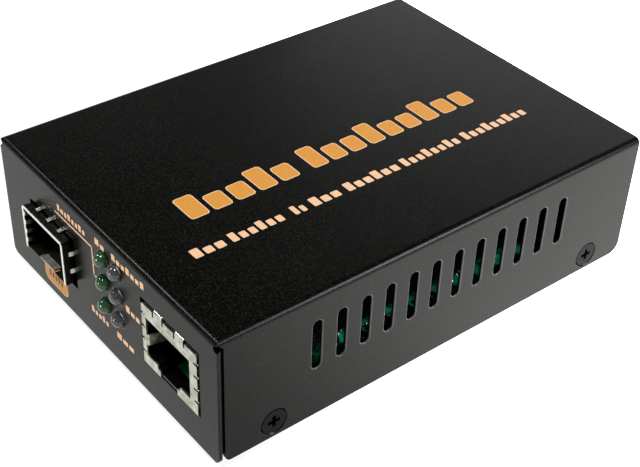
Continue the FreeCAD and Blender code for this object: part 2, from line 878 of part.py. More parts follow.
def sfp_connector():
    """Edge connector at the back of the cage, with a slot for the module's card edge."""
    low_x = cage_centre_x - connector_width / 2
    high_x = cage_centre_x + connector_width / 2
    body = box(low_x, high_x, connector_front_y, connector_rear_y, board_top,
               board_top + connector_height)
    slot_half = card_slot_width / 2
    slot_low = card_slot_level - card_slot_height / 2
    slot_high = card_slot_level + card_slot_height / 2
    slot_end = connector_front_y + card_slot_depth
    slot = box(cage_centre_x - slot_half, cage_centre_x + slot_half, connector_front_y - through,
               slot_end, slot_low, slot_high)
    room = box(cage_centre_x - slot_half, cage_centre_x + slot_half, connector_front_y + contact_room,
               slot_end, slot_low - contact_room, slot_high + contact_room)
    return body.cut([slot, room])


def sfp_contacts():
    """Two rows of contact blades bowed towards the card slot."""
    blades = []
    first_x = cage_centre_x - card_slot_width / 2 + contact_end_margin + contact_width / 2
    pitch = 2 * (cage_centre_x - first_x) / (contact_count - 1)
    start = connector_front_y + contact_room
    end = connector_front_y + card_slot_depth
    lower = card_slot_level - card_slot_height / 2 - contact_room
    upper = card_slot_level + card_slot_height / 2 + contact_room
    for index in range(contact_count):
        x = first_x + index * pitch
        span = (x - contact_width / 2, x + contact_width / 2)
        for first, last in (((start, lower), (end, lower)), ((end, upper), (start, upper))):
            blades.append(arched_strip(first, last, contact_bow, contact_thickness, "X", *span))
    return group(blades)


def rj45_housing():
    """Moulded jack body: a plug cavity with lead-in edges, an open latch channel and a stepped sill."""
    inset = shield_sheet + housing_gap
    front = jack_front_y + inset
    rear = jack_rear_y - inset
    body = box(jack_low_x + inset, jack_high_x - inset, front, rear, board_top, jack_top - inset)
    outline = latch_outline(board_top - through)
    cavity = prism(outline, "Y", front - through, front + latch_sill_depth)
    left = plug_centre_x - plug_width / 2
    right = plug_centre_x + plug_width / 2
    chamber = box(left, right, front, jack_front_y + plug_depth, plug_bottom, plug_top)
    channel_left = outline[1][0]
    channel_right = outline[8][0]
    channel = box(channel_left, channel_right, front + latch_sill_depth, jack_front_y + plug_depth,
                  board_top - through, plug_bottom + through)
    sill = box(channel_left - through, channel_right + through, front - through,
               front + latch_sill_depth, board_top - through, board_top + latch_sill_height)
    mouth = rectangle(left - housing_lead_in, right + housing_lead_in, plug_bottom,
                      plug_top + housing_lead_in)
    lead = prism(mouth, "Y", front - through, front + housing_lead_in)
    body = body.cut([cavity.cut(sill), chamber, channel, lead])
    return body.cut([wire_room(), tongue_room(-1), tongue_room(1)])


def wire_room():
    """Space over the plug where the contact wires bend."""
    half = wire_pitch * wire_count / 2
    return box(plug_centre_x - half, plug_centre_x + half,
               jack_front_y + wire_front_setback - wire_room_gap,
               jack_rear_y - wire_rear_setback + wire_room_gap,
               plug_top - through, wire_roof + wire_room_gap / 2)


def tongue_room(side):
    """Relief in the side of the cavity behind a shield tongue."""
    wall = plug_centre_x + side * plug_width / 2
    out = wall + side * side_tongue_reach / 2
    level = plug_bottom + side_tongue_level - side_tongue_height
    return box(min(wall - side * through, out), max(wall - side * through, out), jack_front_y,
               jack_front_y + side_tongue_length + side_tongue_room, level - housing_gap,
               level + side_tongue_height + housing_gap)


def side_tongue(side):
    """Grounding tongue folded into the plug opening from the shield's face."""
    wall = plug_centre_x + side * plug_width / 2
    level = plug_bottom + side_tongue_level - side_tongue_height
    outer = wall + side * shield_sheet / 2
    mid_y = jack_front_y + shield_sheet / 2
    end_y = jack_front_y + side_tongue_length
    crest = outer - side * side_tongue_reach
    path = [(wall + side * shield_sheet, mid_y), (wall - side * shield_sheet / 2, mid_y),
            (crest, end_y - side_tongue_tip), (crest + side * side_tongue_return, end_y)]
    return bent_strip(path, shield_sheet, shield_sheet / 2, "Z", level, level + side_tongue_height)


def rj45_shield():
    """Folded shield of the jack: face, roof, sides and rear, with roof tabs, slits and tongues."""
    radii = [0.0, 0.0, shield_bend_radius, shield_bend_radius]
    outer = prism(rectangle(jack_low_x, jack_high_x, board_top, jack_top), "Y", jack_front_y,
                  jack_rear_y, radii)
    hollow = box(jack_low_x + shield_sheet, jack_high_x - shield_sheet, jack_front_y + shield_sheet,
                 jack_rear_y - shield_sheet, board_top - through, jack_top - shield_sheet)
    shell = outer.cut(hollow)
    face_cut = prism(latch_outline(board_top - through), "Y", jack_front_y - through,
                     jack_front_y + shield_sheet)
    shell = shell.cut([face_cut] + shield_slits())
    shell = shell.fuse(roof_tabs())
    shell = shell.fuse([side_tongue(-1), side_tongue(1)])
    return shell.removeSplitter()


def tab_middles():
    """Middle x of the two raised roof tabs."""
    return (jack_centre_x - shield_tab_spacing / 2, jack_centre_x + shield_tab_spacing / 2)


def shield_slits():
    """Slits either side of the roof tabs, and short slits down both side edges of the face."""
    cuts = []
    far = jack_front_y + shield_tab_length
    for middle in tab_middles():
        for way in (-1, 1):
            x = middle + way * (shield_tab_width + shield_slit_width) / 2
            cuts.append(box(x - shield_slit_width / 2, x + shield_slit_width / 2,
                            jack_front_y - through, far, jack_top - shield_slit_depth,
                            jack_top + through))
    for side, face_x in ((-1, jack_low_x), (1, jack_high_x)):
        for index in range(shield_slit_count):
            z = board_top + shield_slit_pitch * (index + 1)
            inner = face_x - side * shield_slit_depth
            outer = face_x + side * through
            cuts.append(box(min(inner, outer), max(inner, outer), jack_front_y - through,
                            jack_front_y + shield_sheet, z - shield_slit_width / 2,
                            z + shield_slit_width / 2))
    return cuts


def roof_tabs():
    """Two raised spring tabs at the front of the roof, bowed up to the edge of the cut-out."""
    tabs = []
    for middle in tab_middles():
        path = [(jack_front_y + shield_sheet / 2, jack_top - shield_slit_depth),
                (jack_front_y + shield_sheet / 2, jack_top + shield_tab_rise - shield_sheet / 2),
                (jack_front_y + shield_tab_length / 2, jack_top + shield_tab_rise - shield_sheet / 2),
                (jack_front_y + shield_tab_length, jack_top - shield_sheet / 2)]
        tabs.append(bent_strip(path, shield_sheet, shield_sheet / 2, "X", middle - shield_tab_width / 2,
                               middle + shield_tab_width / 2))
    return tabs


def rj45_contacts():
    """Eight contact wires that slope down and back into the plug cavity."""
    wires = []
    front = jack_front_y + wire_front_setback
    rear = jack_rear_y - wire_rear_setback
    turn = jack_front_y + plug_depth - wire_end_gap
    path = [(rear, plug_top - wire_thickness), (rear, wire_roof), (front, wire_roof),
            (turn, plug_top - wire_sag)]
    for index in range(wire_count):
        x = plug_centre_x + (index - (wire_count - 1) / 2) * wire_pitch
        wires.append(bent_strip(path, wire_thickness, wire_thickness / 2, "X", x - wire_width / 2,
                                x + wire_width / 2))
    return group(wires)


def light(x, z):
    """Round indicator light: dome, barrel and base flange in one casting."""
    step = light_length - light_flange_length
    outline = [(0, 0), (light_radius, 0), (light_radius, step), (light_flange_radius, step),
               (light_flange_radius, light_length), (0, light_length)]
    dome = light_radius - light_tip_flat
    return turned(outline, Vector(x, light_tip_y, z), Vector(0, 1, 0), [0, dome, 0, 0, 0, 0])


def led_holder():
    """Black block behind the front face that holds the six lights level."""
    points = light_points()
    high_x = holder_low_x + holder_width
    top = max(z for _, _, z, _ in points) + light_flange_radius + holder_wall
    front = inner_front_y + wall_gap
    rear = light_base_y + holder_rear_depth
    radii = [0, 0, holder_wall, holder_wall]
    block = prism(rectangle(holder_low_x, high_x, board_top, top), "Y", front, rear, radii)
    cuts = []
    step = light_base_y - light_flange_length
    for _, x, z, _ in points:
        cuts.append(cylinder(light_radius, Vector(x, front - through, z), Vector(x, rear, z)))
        cuts.append(cylinder(light_flange_radius, Vector(x, step, z), Vector(x, rear + through, z)))
    return block.cut(cuts)


def led_leads():
    """Two bent leads for each light, from its base back and down into the board."""
    leads = []
    for _, x, z, row in light_points():
        back = light_base_y + lead_first_bend + lead_bend_step * row
        path = [(light_base_y, z), (back, z), (back, board_top)]
        for way in (-1, 1):
            middle = x + way * lead_spread / 2
            leads.append(bent_strip(path, lead_width, lead_width / 2, "X", middle - lead_width / 2,
                                    middle + lead_width / 2))
    return group(leads)


def dc_jack_body():
    """Moulded power inlet: a block on the board with a round collar that fills the rear hole."""
    low_x = inlet_x - inlet_width / 2
    high_x = inlet_x + inlet_width / 2
    radii = [0, 0, inlet_edge_radius, inlet_edge_radius]
    block = prism(rectangle(low_x, high_x, board_top, board_top + inlet_height), "Y",
                  inlet_block_y, inlet_face_y, radii)
    rear_point = Vector(inlet_x, rear_y, inlet_axis_z)
    collar = cylinder(inlet_collar_radius, Vector(inlet_x, inlet_face_y - through, inlet_axis_z),
                      rear_point)
    bore = cylinder(inlet_bore_radius, Vector(inlet_x, inlet_bore_end_y, inlet_axis_z),
                    Vector(inlet_x, rear_y + through, inlet_axis_z))
    pin_seat = cylinder(inlet_pin_radius, Vector(inlet_x, inlet_block_y, inlet_axis_z), rear_point)
    spring_half = inlet_spring_width / 2 + thread_gap
    spring_slot = box(inlet_x - spring_half, inlet_x + spring_half, inlet_bore_end_y,
                      inlet_face_y - inlet_spring_setback, board_top, inlet_axis_z)
    return block.fuse(collar).cut([bore, pin_seat, spring_slot]).removeSplitter()


def dc_jack_pin():
    """Centre pin of the power inlet, rounded at its free end."""
    length = inlet_bore_end_y + inlet_pin_length - inlet_block_y
    outline = [(0, 0), (inlet_pin_radius, 0), (inlet_pin_radius, length - inlet_pin_chamfer),
               (inlet_pin_radius - inlet_pin_chamfer, length), (0, length)]
    return turned(outline, Vector(inlet_x, inlet_block_y, inlet_axis_z), Vector(0, 1, 0))


def dc_jack_spring():
    """Leaf contact under the barrel of the power plug."""
    inner_end = inlet_bore_end_y + thread_gap
    outer_end = inlet_face_y - inlet_spring_setback - thread_gap
    low = board_top + inlet_spring_thickness / 2 + thread_gap
    high = inlet_axis_z - inlet_bore_radius + inlet_spring_thickness / 2
    path = [(inner_end + inlet_spring_thickness, low), (outer_end - inlet_spring_thickness, low),
            (inner_end + inlet_spring_fold, high)]
    return bent_strip(path, inlet_spring_thickness, inlet_spring_thickness / 2, "X",
                      inlet_x - inlet_spring_width / 2, inlet_x + inlet_spring_width / 2)


def flat_package(x, y, size_x, size_y, height, base):
    """A plain moulded chip package with a chamfered pin-one corner."""
    low_x = x - size_x / 2
    high_x = x + size_x / 2
    low_y = y - size_y / 2
    high_y = y + size_y / 2
    points = [(low_x + pin_one_corner, low_y), (high_x, low_y), (high_x, high_y), (low_x, high_y),
              (low_x, low_y + pin_one_corner)]
    return prism(points, "Z", base, base + height)


def heatsink(x, y, base):
    """Extruded heatsink: one comb profile carried through."""
    half = sink_size / 2
    pitch = (sink_size - sink_fin_thickness) / (sink_fin_count - 1)
    points = [(x - half, base), (x + half, base)]
    top = base + sink_base + sink_fin_height
    for index in range(sink_fin_count - 1, -1, -1):
        left = x - half + index * pitch
        points += [(left + sink_fin_thickness, top), (left, top)]
        if index:
            gap_left = left - pitch + sink_fin_thickness
            points += [(left, base + sink_base), (gap_left, base + sink_base)]
    return prism(points, "Y", y - half, y + half)


def gull_wing_chip(x, y):
    """Memory chip with four bent leads down each side."""
    half = memory_lead_width / 2
    sheet = memory_lead_thickness
    sole = board_top + sheet / 2
    knee = board_top + memory_height / 2
    body = flat_package(x, y, memory_width, memory_length, memory_height - sheet, board_top + sheet)
    for side in (-1, 1):
        wall = x + side * memory_width / 2
        path = [(wall - side * sheet, knee), (wall + side * sheet, knee), (wall + side * sheet, sole),
                (wall + side * memory_lead_reach, sole)]
        for index in range(memory_lead_count):
            mid_y = y + (index - (memory_lead_count - 1) / 2) * memory_lead_pitch
            body = body.fuse(bent_strip(path, sheet, sheet / 4, "Y", mid_y - half, mid_y + half))
    return body


def power_inductor(x, y):
    """Shielded power inductor: a square block with rounded corners and a round core cap."""
    half = inductor_size / 2
    block = prism(rectangle(x - half, x + half, y - half, y + half), "Z", board_top,
                  board_top + inductor_height, inductor_corner_radius)
    top = board_top + inductor_height
    low = Vector(x, y, top - inductor_groove_depth)
    high = Vector(x, y, top + through)
    groove = cylinder(inductor_core_radius + inductor_groove_width, low, high)
    return block.cut(groove.cut(cylinder(inductor_core_radius, low, high)))


def can_capacitor(x, y):
    """Surface-mount can capacitor: a turned can with a rolled neck on a square plastic base."""
    half = can_radius + can_base_margin
    seat_top = board_top + can_base_height
    seat = prism(rectangle(x - half, x + half, y - half, y + half), "Z", board_top, seat_top,
                 [can_base_corner, 0, 0, can_base_corner])
    neck = can_neck_level - can_base_height
    top = can_height - can_base_height
    outline = [(0, 0), (can_radius, 0), (can_radius, neck - can_neck_width / 2),
               (can_radius - can_neck_depth, neck), (can_radius, neck + can_neck_width / 2),
               (can_radius, top - can_chamfer), (can_radius - can_chamfer, top), (0, top)]
    can = turned(outline, Vector(x, y, seat_top), Vector(0, 0, 1))
    return seat.fuse(can)


def chip_row(x, first_y):
    """A column of small chip parts, one solid each."""
    chips = []
    for index in range(chip_row_count):
        y = first_y + index * chip_row_pitch
        chips.append(box(x - chip_length / 2, x + chip_length / 2, y, y + chip_width, board_top,
                         board_top + chip_height))
    return group(chips)


def block(x, y, size_x, size_y, height, radius):
    """A plain part on the board with rounded upright edges."""
    points = rectangle(x - size_x / 2, x + size_x / 2, y - size_y / 2, y + size_y / 2)
    return prism(points, "Z", board_top, board_top + height, radius)


def signal_parts():
    """Name and shape of each part of the signal path, from the jack back to the memory chip."""
    transformer_x = jack_low_x
    transformer_y = jack_rear_y + part_gap + transformer_width / 2
    sink_x = cage_high_x + part_gap + sink_size / 2
    sink_y = transformer_y + transformer_width / 2 + part_gap + sink_size / 2
    pad_level = board_top + phy_height
    sink_level = pad_level + pad_thickness
    rear_y_row = sink_y + sink_size / 2 + part_gap + controller_size / 2
    memory_x = sink_x + controller_size / 2 + part_gap + memory_width / 2 + memory_lead_reach
    crystal_x = sink_x - controller_size / 2 - part_gap - crystal_width / 2
    pad_half = pad_size / 2
    return {
        "lan_transformer": block(transformer_x, transformer_y, transformer_length, transformer_width,
                                 transformer_height, transformer_edge_radius),
        "phy_chip": flat_package(sink_x, sink_y, phy_size, phy_size, phy_height, board_top),
        "thermal_pad": box(sink_x - pad_half, sink_x + pad_half, sink_y - pad_half, sink_y + pad_half,
                           pad_level, sink_level),
        "heatsink": heatsink(sink_x, sink_y, sink_level),
        "controller_chip": flat_package(sink_x, rear_y_row, controller_size, controller_size,
                                        controller_height, board_top),
        "memory_chip": gull_wing_chip(memory_x, rear_y_row),
        "crystal": block(crystal_x, rear_y_row, crystal_width, crystal_length, crystal_height,
                         crystal_corner_radius),
        "chip_resistors": chip_row(sink_x + sink_size / 2 + part_gap + chip_length / 2,
                                   transformer_y + transformer_width / 2 + part_gap),
    }


def supply_parts():
    """Name and shape of each part of the power supply, behind the cage and beside the inlet."""
    edge_x = board_half_width - board_edge_margin - chip_length / 2
    edge_y = front_y + standoff_front_inset + board_screw_head_radius + part_gap
    step = inductor_size + part_gap
    choke_x = cage_high_x - inductor_size / 2
    choke_y = cage_rear_y + part_gap + inductor_size / 2
    can_y = board_rear_y - part_gap - can_radius
    first_can_x = inlet_x + inlet_width / 2 + part_gap + can_radius
    fuse_x = inlet_x - inlet_width / 2 - part_gap - fuse_width / 2
    parts = {
        "chip_capacitors": chip_row(edge_x, edge_y),
        "fuse": block(fuse_x, inlet_block_y + fuse_length / 2, fuse_width, fuse_length, fuse_height,
                      fuse_corner_radius),
    }
    for index in range(inductor_count):
        row, column = divmod(index, 2)
        parts["power_inductor_" + str(index + 1)] = power_inductor(choke_x - (1 - column) * step,
                                                                   choke_y + row * step)
    regulator_y = choke_y + inductor_size / 2 + part_gap + regulator_size / 2
    for index in range(regulator_count):
        y = regulator_y + index * (regulator_size + part_gap)
        parts["regulator_" + str(index + 1)] = flat_package(choke_x, y, regulator_size, regulator_size,
                                                             regulator_height, board_top)
    for index in range(can_count):
        x = first_can_x + index * (2 * can_radius + part_gap)
        parts["can_capacitor_" + str(index + 1)] = can_capacitor(x, can_y)
    return parts


def build():
    """Write every piece of the converter."""
    os.makedirs("parts", exist_ok=True)
    pieces = {
        "cover": cover(),
        "base_plate": base_plate(),
        "case_screws": case_screws(),
        "circuit_board": circuit_board(),
        "board_standoffs": board_standoffs(),
        "board_screws": board_screws(),
        "sfp_cage": sfp_cage(),
        "sfp_cage_floor": sfp_cage_floor(),
        "sfp_spring_collar": sfp_spring_collar(),
        "sfp_connector": sfp_connector(),
        "sfp_contacts": sfp_contacts(),
        "rj45_housing": rj45_housing(),
        "rj45_shield": rj45_shield(),
        "rj45_contacts": rj45_contacts(),
        "led_holder": led_holder(),
        "led_leads": led_leads(),
        "dc_jack_body": dc_jack_body(),
        "dc_jack_pin": dc_jack_pin(),
        "dc_jack_spring": dc_jack_spring(),
    }
    foot_x = half_width - foot_inset
    for side, x in (("left", -foot_x), ("right", foot_x)):
        pieces["foot_front_" + side] = foot(x, front_y + foot_inset)
        pieces["foot_rear_" + side] = foot(x, rear_y - foot_inset)
    for name, x, z, _ in light_points():
        pieces[name] = light(x, z)
    pieces.update(signal_parts())
    pieces.update(supply_parts())
    for name, shape in pieces.items():
        save(shape, name)
        print(name, len(shape.Solids), round(shape.Volume, 2), shape.isValid())


build()
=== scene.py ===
# %% Load the frame
import json

import bmesh
import bpy
import numpy as np
from mathutils import Matrix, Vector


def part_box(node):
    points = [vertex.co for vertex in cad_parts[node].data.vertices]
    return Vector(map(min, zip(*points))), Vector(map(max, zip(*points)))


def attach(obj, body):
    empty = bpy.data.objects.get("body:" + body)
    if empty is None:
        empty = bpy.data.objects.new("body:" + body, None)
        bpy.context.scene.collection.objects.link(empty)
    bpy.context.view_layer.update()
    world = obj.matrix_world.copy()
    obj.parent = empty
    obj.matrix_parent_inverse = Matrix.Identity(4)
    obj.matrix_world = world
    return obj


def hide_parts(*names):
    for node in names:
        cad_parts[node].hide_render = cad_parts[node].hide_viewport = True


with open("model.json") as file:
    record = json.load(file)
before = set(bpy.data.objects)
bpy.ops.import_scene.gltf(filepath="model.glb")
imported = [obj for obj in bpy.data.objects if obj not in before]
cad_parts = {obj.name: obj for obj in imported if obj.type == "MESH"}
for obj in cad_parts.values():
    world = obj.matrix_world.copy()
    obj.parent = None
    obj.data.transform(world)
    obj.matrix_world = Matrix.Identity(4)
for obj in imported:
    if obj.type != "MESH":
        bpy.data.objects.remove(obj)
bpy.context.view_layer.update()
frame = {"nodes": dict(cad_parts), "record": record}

nodes = frame["nodes"]

# %% [markdown]
# # A small network converter in a folded steel case
# The object is a black powder-coated box, 68 mm wide and 94 mm long, with a module cage, six
# signal lights and a network jack on its front. The metal, the plastics and the board come from
# the frame at their real size. This lesson gives each of them its finish, prints the cover, and
# makes the small things that are seen close up, such as the lenses and the edges of the paint.

# %% [markdown]
# ## The camera
# The camera stands where the photographer stood, to the right of the front and above. It could be
# moved by eye until the picture looks right. Here its place was worked out from the corners of
# the box, so that the angles, the distance and the focal length are real ones, and the render can
# be laid over the photograph. The angles and the distance come first.

# %% Where the camera stands
MM = 0.001
azimuth, elevation, roll = np.radians([50.40, 37.53, 2.30])
aim_offset = np.array([0.119, 3.129, 248.51]) * MM
aim_point = np.array([0.0, 1.0, 1.5]) * MM


def camera_rows():
    """The camera's right, up and back directions. Back points from the object to the camera,
    right is level, and the first two are then rolled about back."""
    back = np.array([np.sin(azimuth) * np.cos(elevation), -np.cos(azimuth) * np.cos(elevation),
                     np.sin(elevation)])
    right = np.array([np.cos(azimuth), np.sin(azimuth), 0.0])
    up = np.cross(back, right)
    return np.array([right * np.cos(roll) + up * np.sin(roll),
                     up * np.cos(roll) - right * np.sin(roll), back])


print("right, up and back", camera_rows().round(3).tolist())

# %% [markdown]
# The focal length was found in pixels of the photograph. A camera in Blender wants it in
# millimetres on a film of a given width, so it is scaled by that width over the picture's width.

# %% The camera
frame_width = 640
focal_pixels = 1280.9
film_width = 36.0
nearest, farthest = 0.01, 20.0


def make_camera():
    """A camera whose turn is the three rows as columns. It stands at aim_offset, measured along
    them from aim_point."""
    rows = camera_rows()
    data = bpy.data.cameras.new("camera")
    data.sensor_width = film_width
    data.lens = data.sensor_width * focal_pixels / frame_width
    data.clip_start, data.clip_end = nearest, farthest
    place = np.eye(4)
    place[:3, :3] = rows.T
    place[:3, 3] = rows.T @ aim_offset + aim_point
    made = bpy.data.objects.new("camera", data)
    bpy.context.scene.collection.objects.link(made)
    made.matrix_world = Matrix(place.tolist())
    bpy.context.scene.camera = made
    return made


camera = make_camera()
print("camera at mm", [round(v / MM, 1) for v in camera.matrix_world.translation])

# %% [markdown]
# ## The floor
# A black object on white is lit by what it mirrors. Its front and its side mirror the floor at a
# low angle, and their greys come from there. White card under strong lamps would do, but a black
# case then mirrors the lamps too. This floor is a table of matt white glass, lit from below: its
# glow can grow from the front of the case to the back, and no lamp shows in the paint.

# %% Glowing glass
glass_grey = (0.3, 0.3, 0.3, 1.0)
glass_roughness, glass_shine = 0.9, 0.1
glow_colour = (1.0, 1.0, 0.98, 1.0)
glow_way = (0.45, 0.89, 0.0)
glow_start, glow_end = -22 * MM, 36 * MM
glow_low, glow_high = 0.8, 2.8


def floor_glow():
    """Matt white glass, lit from below. Its glow grows along glow_way, past the side of the case,
    from glow_low in front of it to glow_high behind it, slowly at both ends."""
    glass = bpy.data.materials.new("floor_white")
    glass.use_nodes = True
    tree = glass.node_tree
    shader = tree.nodes["Principled BSDF"]
    for socket, value in (("Base Color", glass_grey), ("Roughness", glass_roughness),
                          ("Specular IOR Level", glass_shine), ("Emission Color", glow_colour)):
        shader.inputs[socket].default_value = value
    where = tree.nodes.new("ShaderNodeTexCoord")
    along = tree.nodes.new("ShaderNodeVectorMath")
    along.operation = "DOT_PRODUCT"
    along.inputs[1].default_value = glow_way
    tree.links.new(where.outputs["Object"], along.inputs[0])
    reach = tree.nodes.new("ShaderNodeMapRange")
    reach.interpolation_type = "SMOOTHSTEP"
    for socket, value in (("From Min", glow_start), ("From Max", glow_end),
                          ("To Min", glow_low), ("To Max", glow_high)):
        reach.inputs[socket].default_value = value
    tree.links.new(along.outputs["Value"], reach.inputs["Value"])
    tree.links.new(reach.outputs["Result"], shader.inputs["Emission Strength"])
    return glass


print("glow from", glow_low, "to", glow_high)

# %% [markdown]
# The table is far wider than the picture, so its edge never shows. The view transform is the
# standard one, which leaves the white of the table white and the blacks of the paint black.

# %% The floor
scene = bpy.context.scene
scene.view_settings.view_transform = "Standard"
floor_half = 1.6


def make_floor():
    """A flat square at height zero."""
    corners = np.array([[-1, -1, 0], [1, -1, 0], [1, 1, 0], [-1, 1, 0]]) * floor_half
    mesh = bpy.data.meshes.new("floor")
    mesh.from_pydata(corners.tolist(), [], [(0, 1, 2, 3)])
    mesh.materials.append(floor_glow())
    made = bpy.data.objects.new("floor", mesh)
    scene.collection.objects.link(made)
    return made


floor = make_floor()
print(floor.name, "is", floor_half * 2, "m across")

# %% [markdown]
# ## The lamps
# The top of the case mirrors the room behind it. So the room is dark, and soft panels stand
# there, whose edges give the slow fall from grey to black. Small panels in front and above make
# the dots on the lenses and light the print, and two on the right shine through the slots onto
# the board. A sun or a point lamp would be simpler, but its shadows are hard, and a lens mirrors
# it as a speck. A rectangle that faces the object is what a softbox is.

# %% A soft panel
lamp_distance = 0.9
nearly_upright = 0.99


def make_panel(name, way, width, height, power, distance=lamp_distance, target=(0, 0, 0.01)):
    """A soft rectangular light of some watts that faces target, standing off from it along way."""
    back = np.array(way, float)
    back /= np.linalg.norm(back)
    data = bpy.data.lights.new(name, "AREA")
    data.shape = "RECTANGLE"
    data.size, data.size_y = width, height
    data.energy = power
    made = bpy.data.objects.new(name, data)
    scene.collection.objects.link(made)
    right = np.cross([0.0, 1.0, 0.0] if abs(back[2]) > nearly_upright else [0.0, 0.0, 1.0], back)
    right /= np.linalg.norm(right)
    turn = np.eye(4)
    turn[:3, :3] = np.column_stack([right, np.cross(back, right), back])
    turn[:3, 3] = np.array(target, float) + back * distance
    made.matrix_world = Matrix(turn.tolist())
    return made


print("panels stand", lamp_distance, "m off")

# %% [markdown]
# Each line below gives the way from the object to a panel, its width and height in metres, and
# its power in watts. The powers could be guessed and left, but a black surface shows every error.
# They were set one at a time, until the greys at some sixty points of the case came close to the
# photograph's.

# %% The lamps and the dark room
near_slots = {"distance": 0.5, "target": (0.03, 0.01, 0.01)}
room_glow = 0.03
make_panel("overhead", (0.06, -0.25, 0.97), 0.16, 0.16, 6.2)
make_panel("front_left", (-0.63, -0.44, 0.64), 0.12, 0.12, 2.8)
make_panel("front_window", (-0.24, -0.96, 0.12), 0.16, 0.16, 2.6)
make_panel("right_rear", (0.66, 0.48, 0.58), 0.14, 0.10, 1.2, **near_slots)
make_panel("right_low", (0.74, 0.52, 0.40), 0.14, 0.10, 1.5, **near_slots)
make_panel("rear", (-0.33, 0.88, 0.342), 1.0, 0.45, 2.45)
make_panel("rear_left", (-0.90, 0.29, 0.33), 0.36, 0.30, 0.22)
make_panel("rear_gap", (-0.725, 0.489, 0.485), 0.20, 0.12, 0.03)

world = bpy.data.worlds.new("studio")
scene.world = world
world.use_nodes = True
background = world.node_tree.nodes["Background"]
background.inputs["Color"].default_value = (1.0, 1.0, 1.0, 1.0)
background.inputs["Strength"].default_value = room_glow

# %% [markdown]
# ## Tools for the finishes
# A finish could be painted on a picture and wrapped round the object. Here every finish is worked
# out from the place of a point on the object, in metres, so it has no seams and its grain has its
# real size. Values that are the same all over are set on the shader itself. First come the
# helpers that make a material and join its nodes.

# %% Materials and nodes
def new_finish(name, **sockets):
    """A new material. Each keyword is one of the shader's own sockets, with _ for a space."""
    material = bpy.data.materials.new(name)
    material.use_nodes = True
    shader = material.node_tree.nodes["Principled BSDF"]
    for socket, value in sockets.items():
        shader.inputs[socket.replace("_", " ")].default_value = value
    return material


def shader_of(material):
    """The node that turns colour, roughness and the rest into a surface."""
    return material.node_tree.nodes["Principled BSDF"]


def add_node(material, kind, links=None, **values):
    """Adds a node. Values with a capital are sockets, with _ for a space, and the others are the
    node's own settings. Links give the sockets that follow another node."""
    tree = material.node_tree
    node = tree.nodes.new(kind)
    for name, value in values.items():
        if name[0].isupper():
            node.inputs[name.replace("_", " ")].default_value = value
        else:
            setattr(node, name, value)
    for socket, source in (links or {}).items():
        tree.links.new(source, node.inputs[socket])
    return node


def join(material, source, socket):
    """Lets one socket of the shader follow source."""
    material.node_tree.links.new(source, shader_of(material).inputs[socket])


print("materials can be made")

# %% [markdown]
# A noise gives the grain of a surface. Its value lies between nought and one, mostly near a half,
# so it is stretched before it drives a colour or a roughness.

# %% Grain, colours and ranges
grain_low, grain_high = 0.3, 0.7


def place_of(material, stretch=(1, 1, 1)):
    """Object coordinates, stretched along each axis."""
    where = add_node(material, "ShaderNodeTexCoord").outputs["Object"]
    return add_node(material, "ShaderNodeMapping", {"Vector": where},
                    Scale=stretch).outputs["Vector"]


def grain_of(material, size, detail=3.0, stretch=(1, 1, 1)):
    """Noise whose grains are about size across, in metres."""
    return add_node(material, "ShaderNodeTexNoise", {"Vector": place_of(material, stretch)},
                    Scale=1 / size, Detail=detail).outputs["Fac"]


def ramp_of(material, factor, stops):
    """Colours along factor. Each stop is a place and a colour."""
    node = add_node(material, "ShaderNodeValToRGB", {"Fac": factor})
    elements = node.color_ramp.elements
    while len(elements) < len(stops):
        elements.new(0.5)
    for element, (place, colour) in zip(elements, stops):
        element.position = place
        element.color = (*colour, 1.0)
    return node.outputs["Color"]


def range_of(material, factor, low, high, low_in=grain_low, high_in=grain_high):
    """Factor, stretched from low_in..high_in to low..high and held there."""
    node = add_node(material, "ShaderNodeMapRange", {"Value": factor})
    for socket, value in zip(("From Min", "From Max", "To Min", "To Max"),
                             (low_in, high_in, low, high)):
        node.inputs[socket].default_value = value
    return node.outputs["Result"]


print("grain, colours and ranges are ready")

# %% [markdown]
# On a real surface the high places are rubbed dull and lighter, and the pits between them lie in
# shade. So one noise moves the colour, the roughness and the height of most finishes together: the
# pits are painted darker, a painted shade, and the high places are lighter and rougher. The
# painted highlights and shade on the cage and the bright bands on the board are different: they
# follow the place on the object, such as the distance from an edge, and the two helpers after the
# first one are for that.

# %% Relief, masks by place and a mottled finish
def set_relief(material, factor, depth):
    """Bumps of that depth in metres."""
    node = add_node(material, "ShaderNodeBump", {"Height": factor})
    node.inputs["Distance"].default_value = depth
    node.inputs["Strength"].default_value = 1.0
    join(material, node.outputs["Normal"], "Normal")


def ease_of(material, axis, start, end):
    """Nought before start and one after end, along one axis of the object, in metres."""
    where = add_node(material, "ShaderNodeTexCoord").outputs["Object"]
    apart = add_node(material, "ShaderNodeSeparateXYZ", {"Vector": where})
    return range_of(material, apart.outputs[axis], 0.0, 1.0, start, end)


def both_of(material, first, second, how="MULTIPLY"):
    """The product of two factors, or with how set to MAXIMUM the larger of them."""
    node = add_node(material, "ShaderNodeMath", operation=how)
    for socket, source in enumerate((first, second)):
        material.node_tree.links.new(source, node.inputs[socket])
    return node.outputs["Value"]


def mottled(name, dark, light, size, gloss, depth, stretch=(1, 1, 1), **sockets):
    """A finish whose colour, roughness and height all follow one noise, so its pits are painted
    darker as shade: dark and light are its colours, size its grain in metres, gloss its range of
    roughness, depth its bumps in metres."""
    material = new_finish(name, **sockets)
    grain = grain_of(material, size, stretch=stretch)
    # Dark in the pits and light on the high places: partly a painted shade.
    stops = [(grain_low, dark), (grain_high, light)]
    join(material, ramp_of(material, grain, stops), "Base Color")
    join(material, range_of(material, grain, *gloss), "Roughness")
    set_relief(material, grain, depth)
    return material


print("relief, masks by place and mottled finishes are ready")

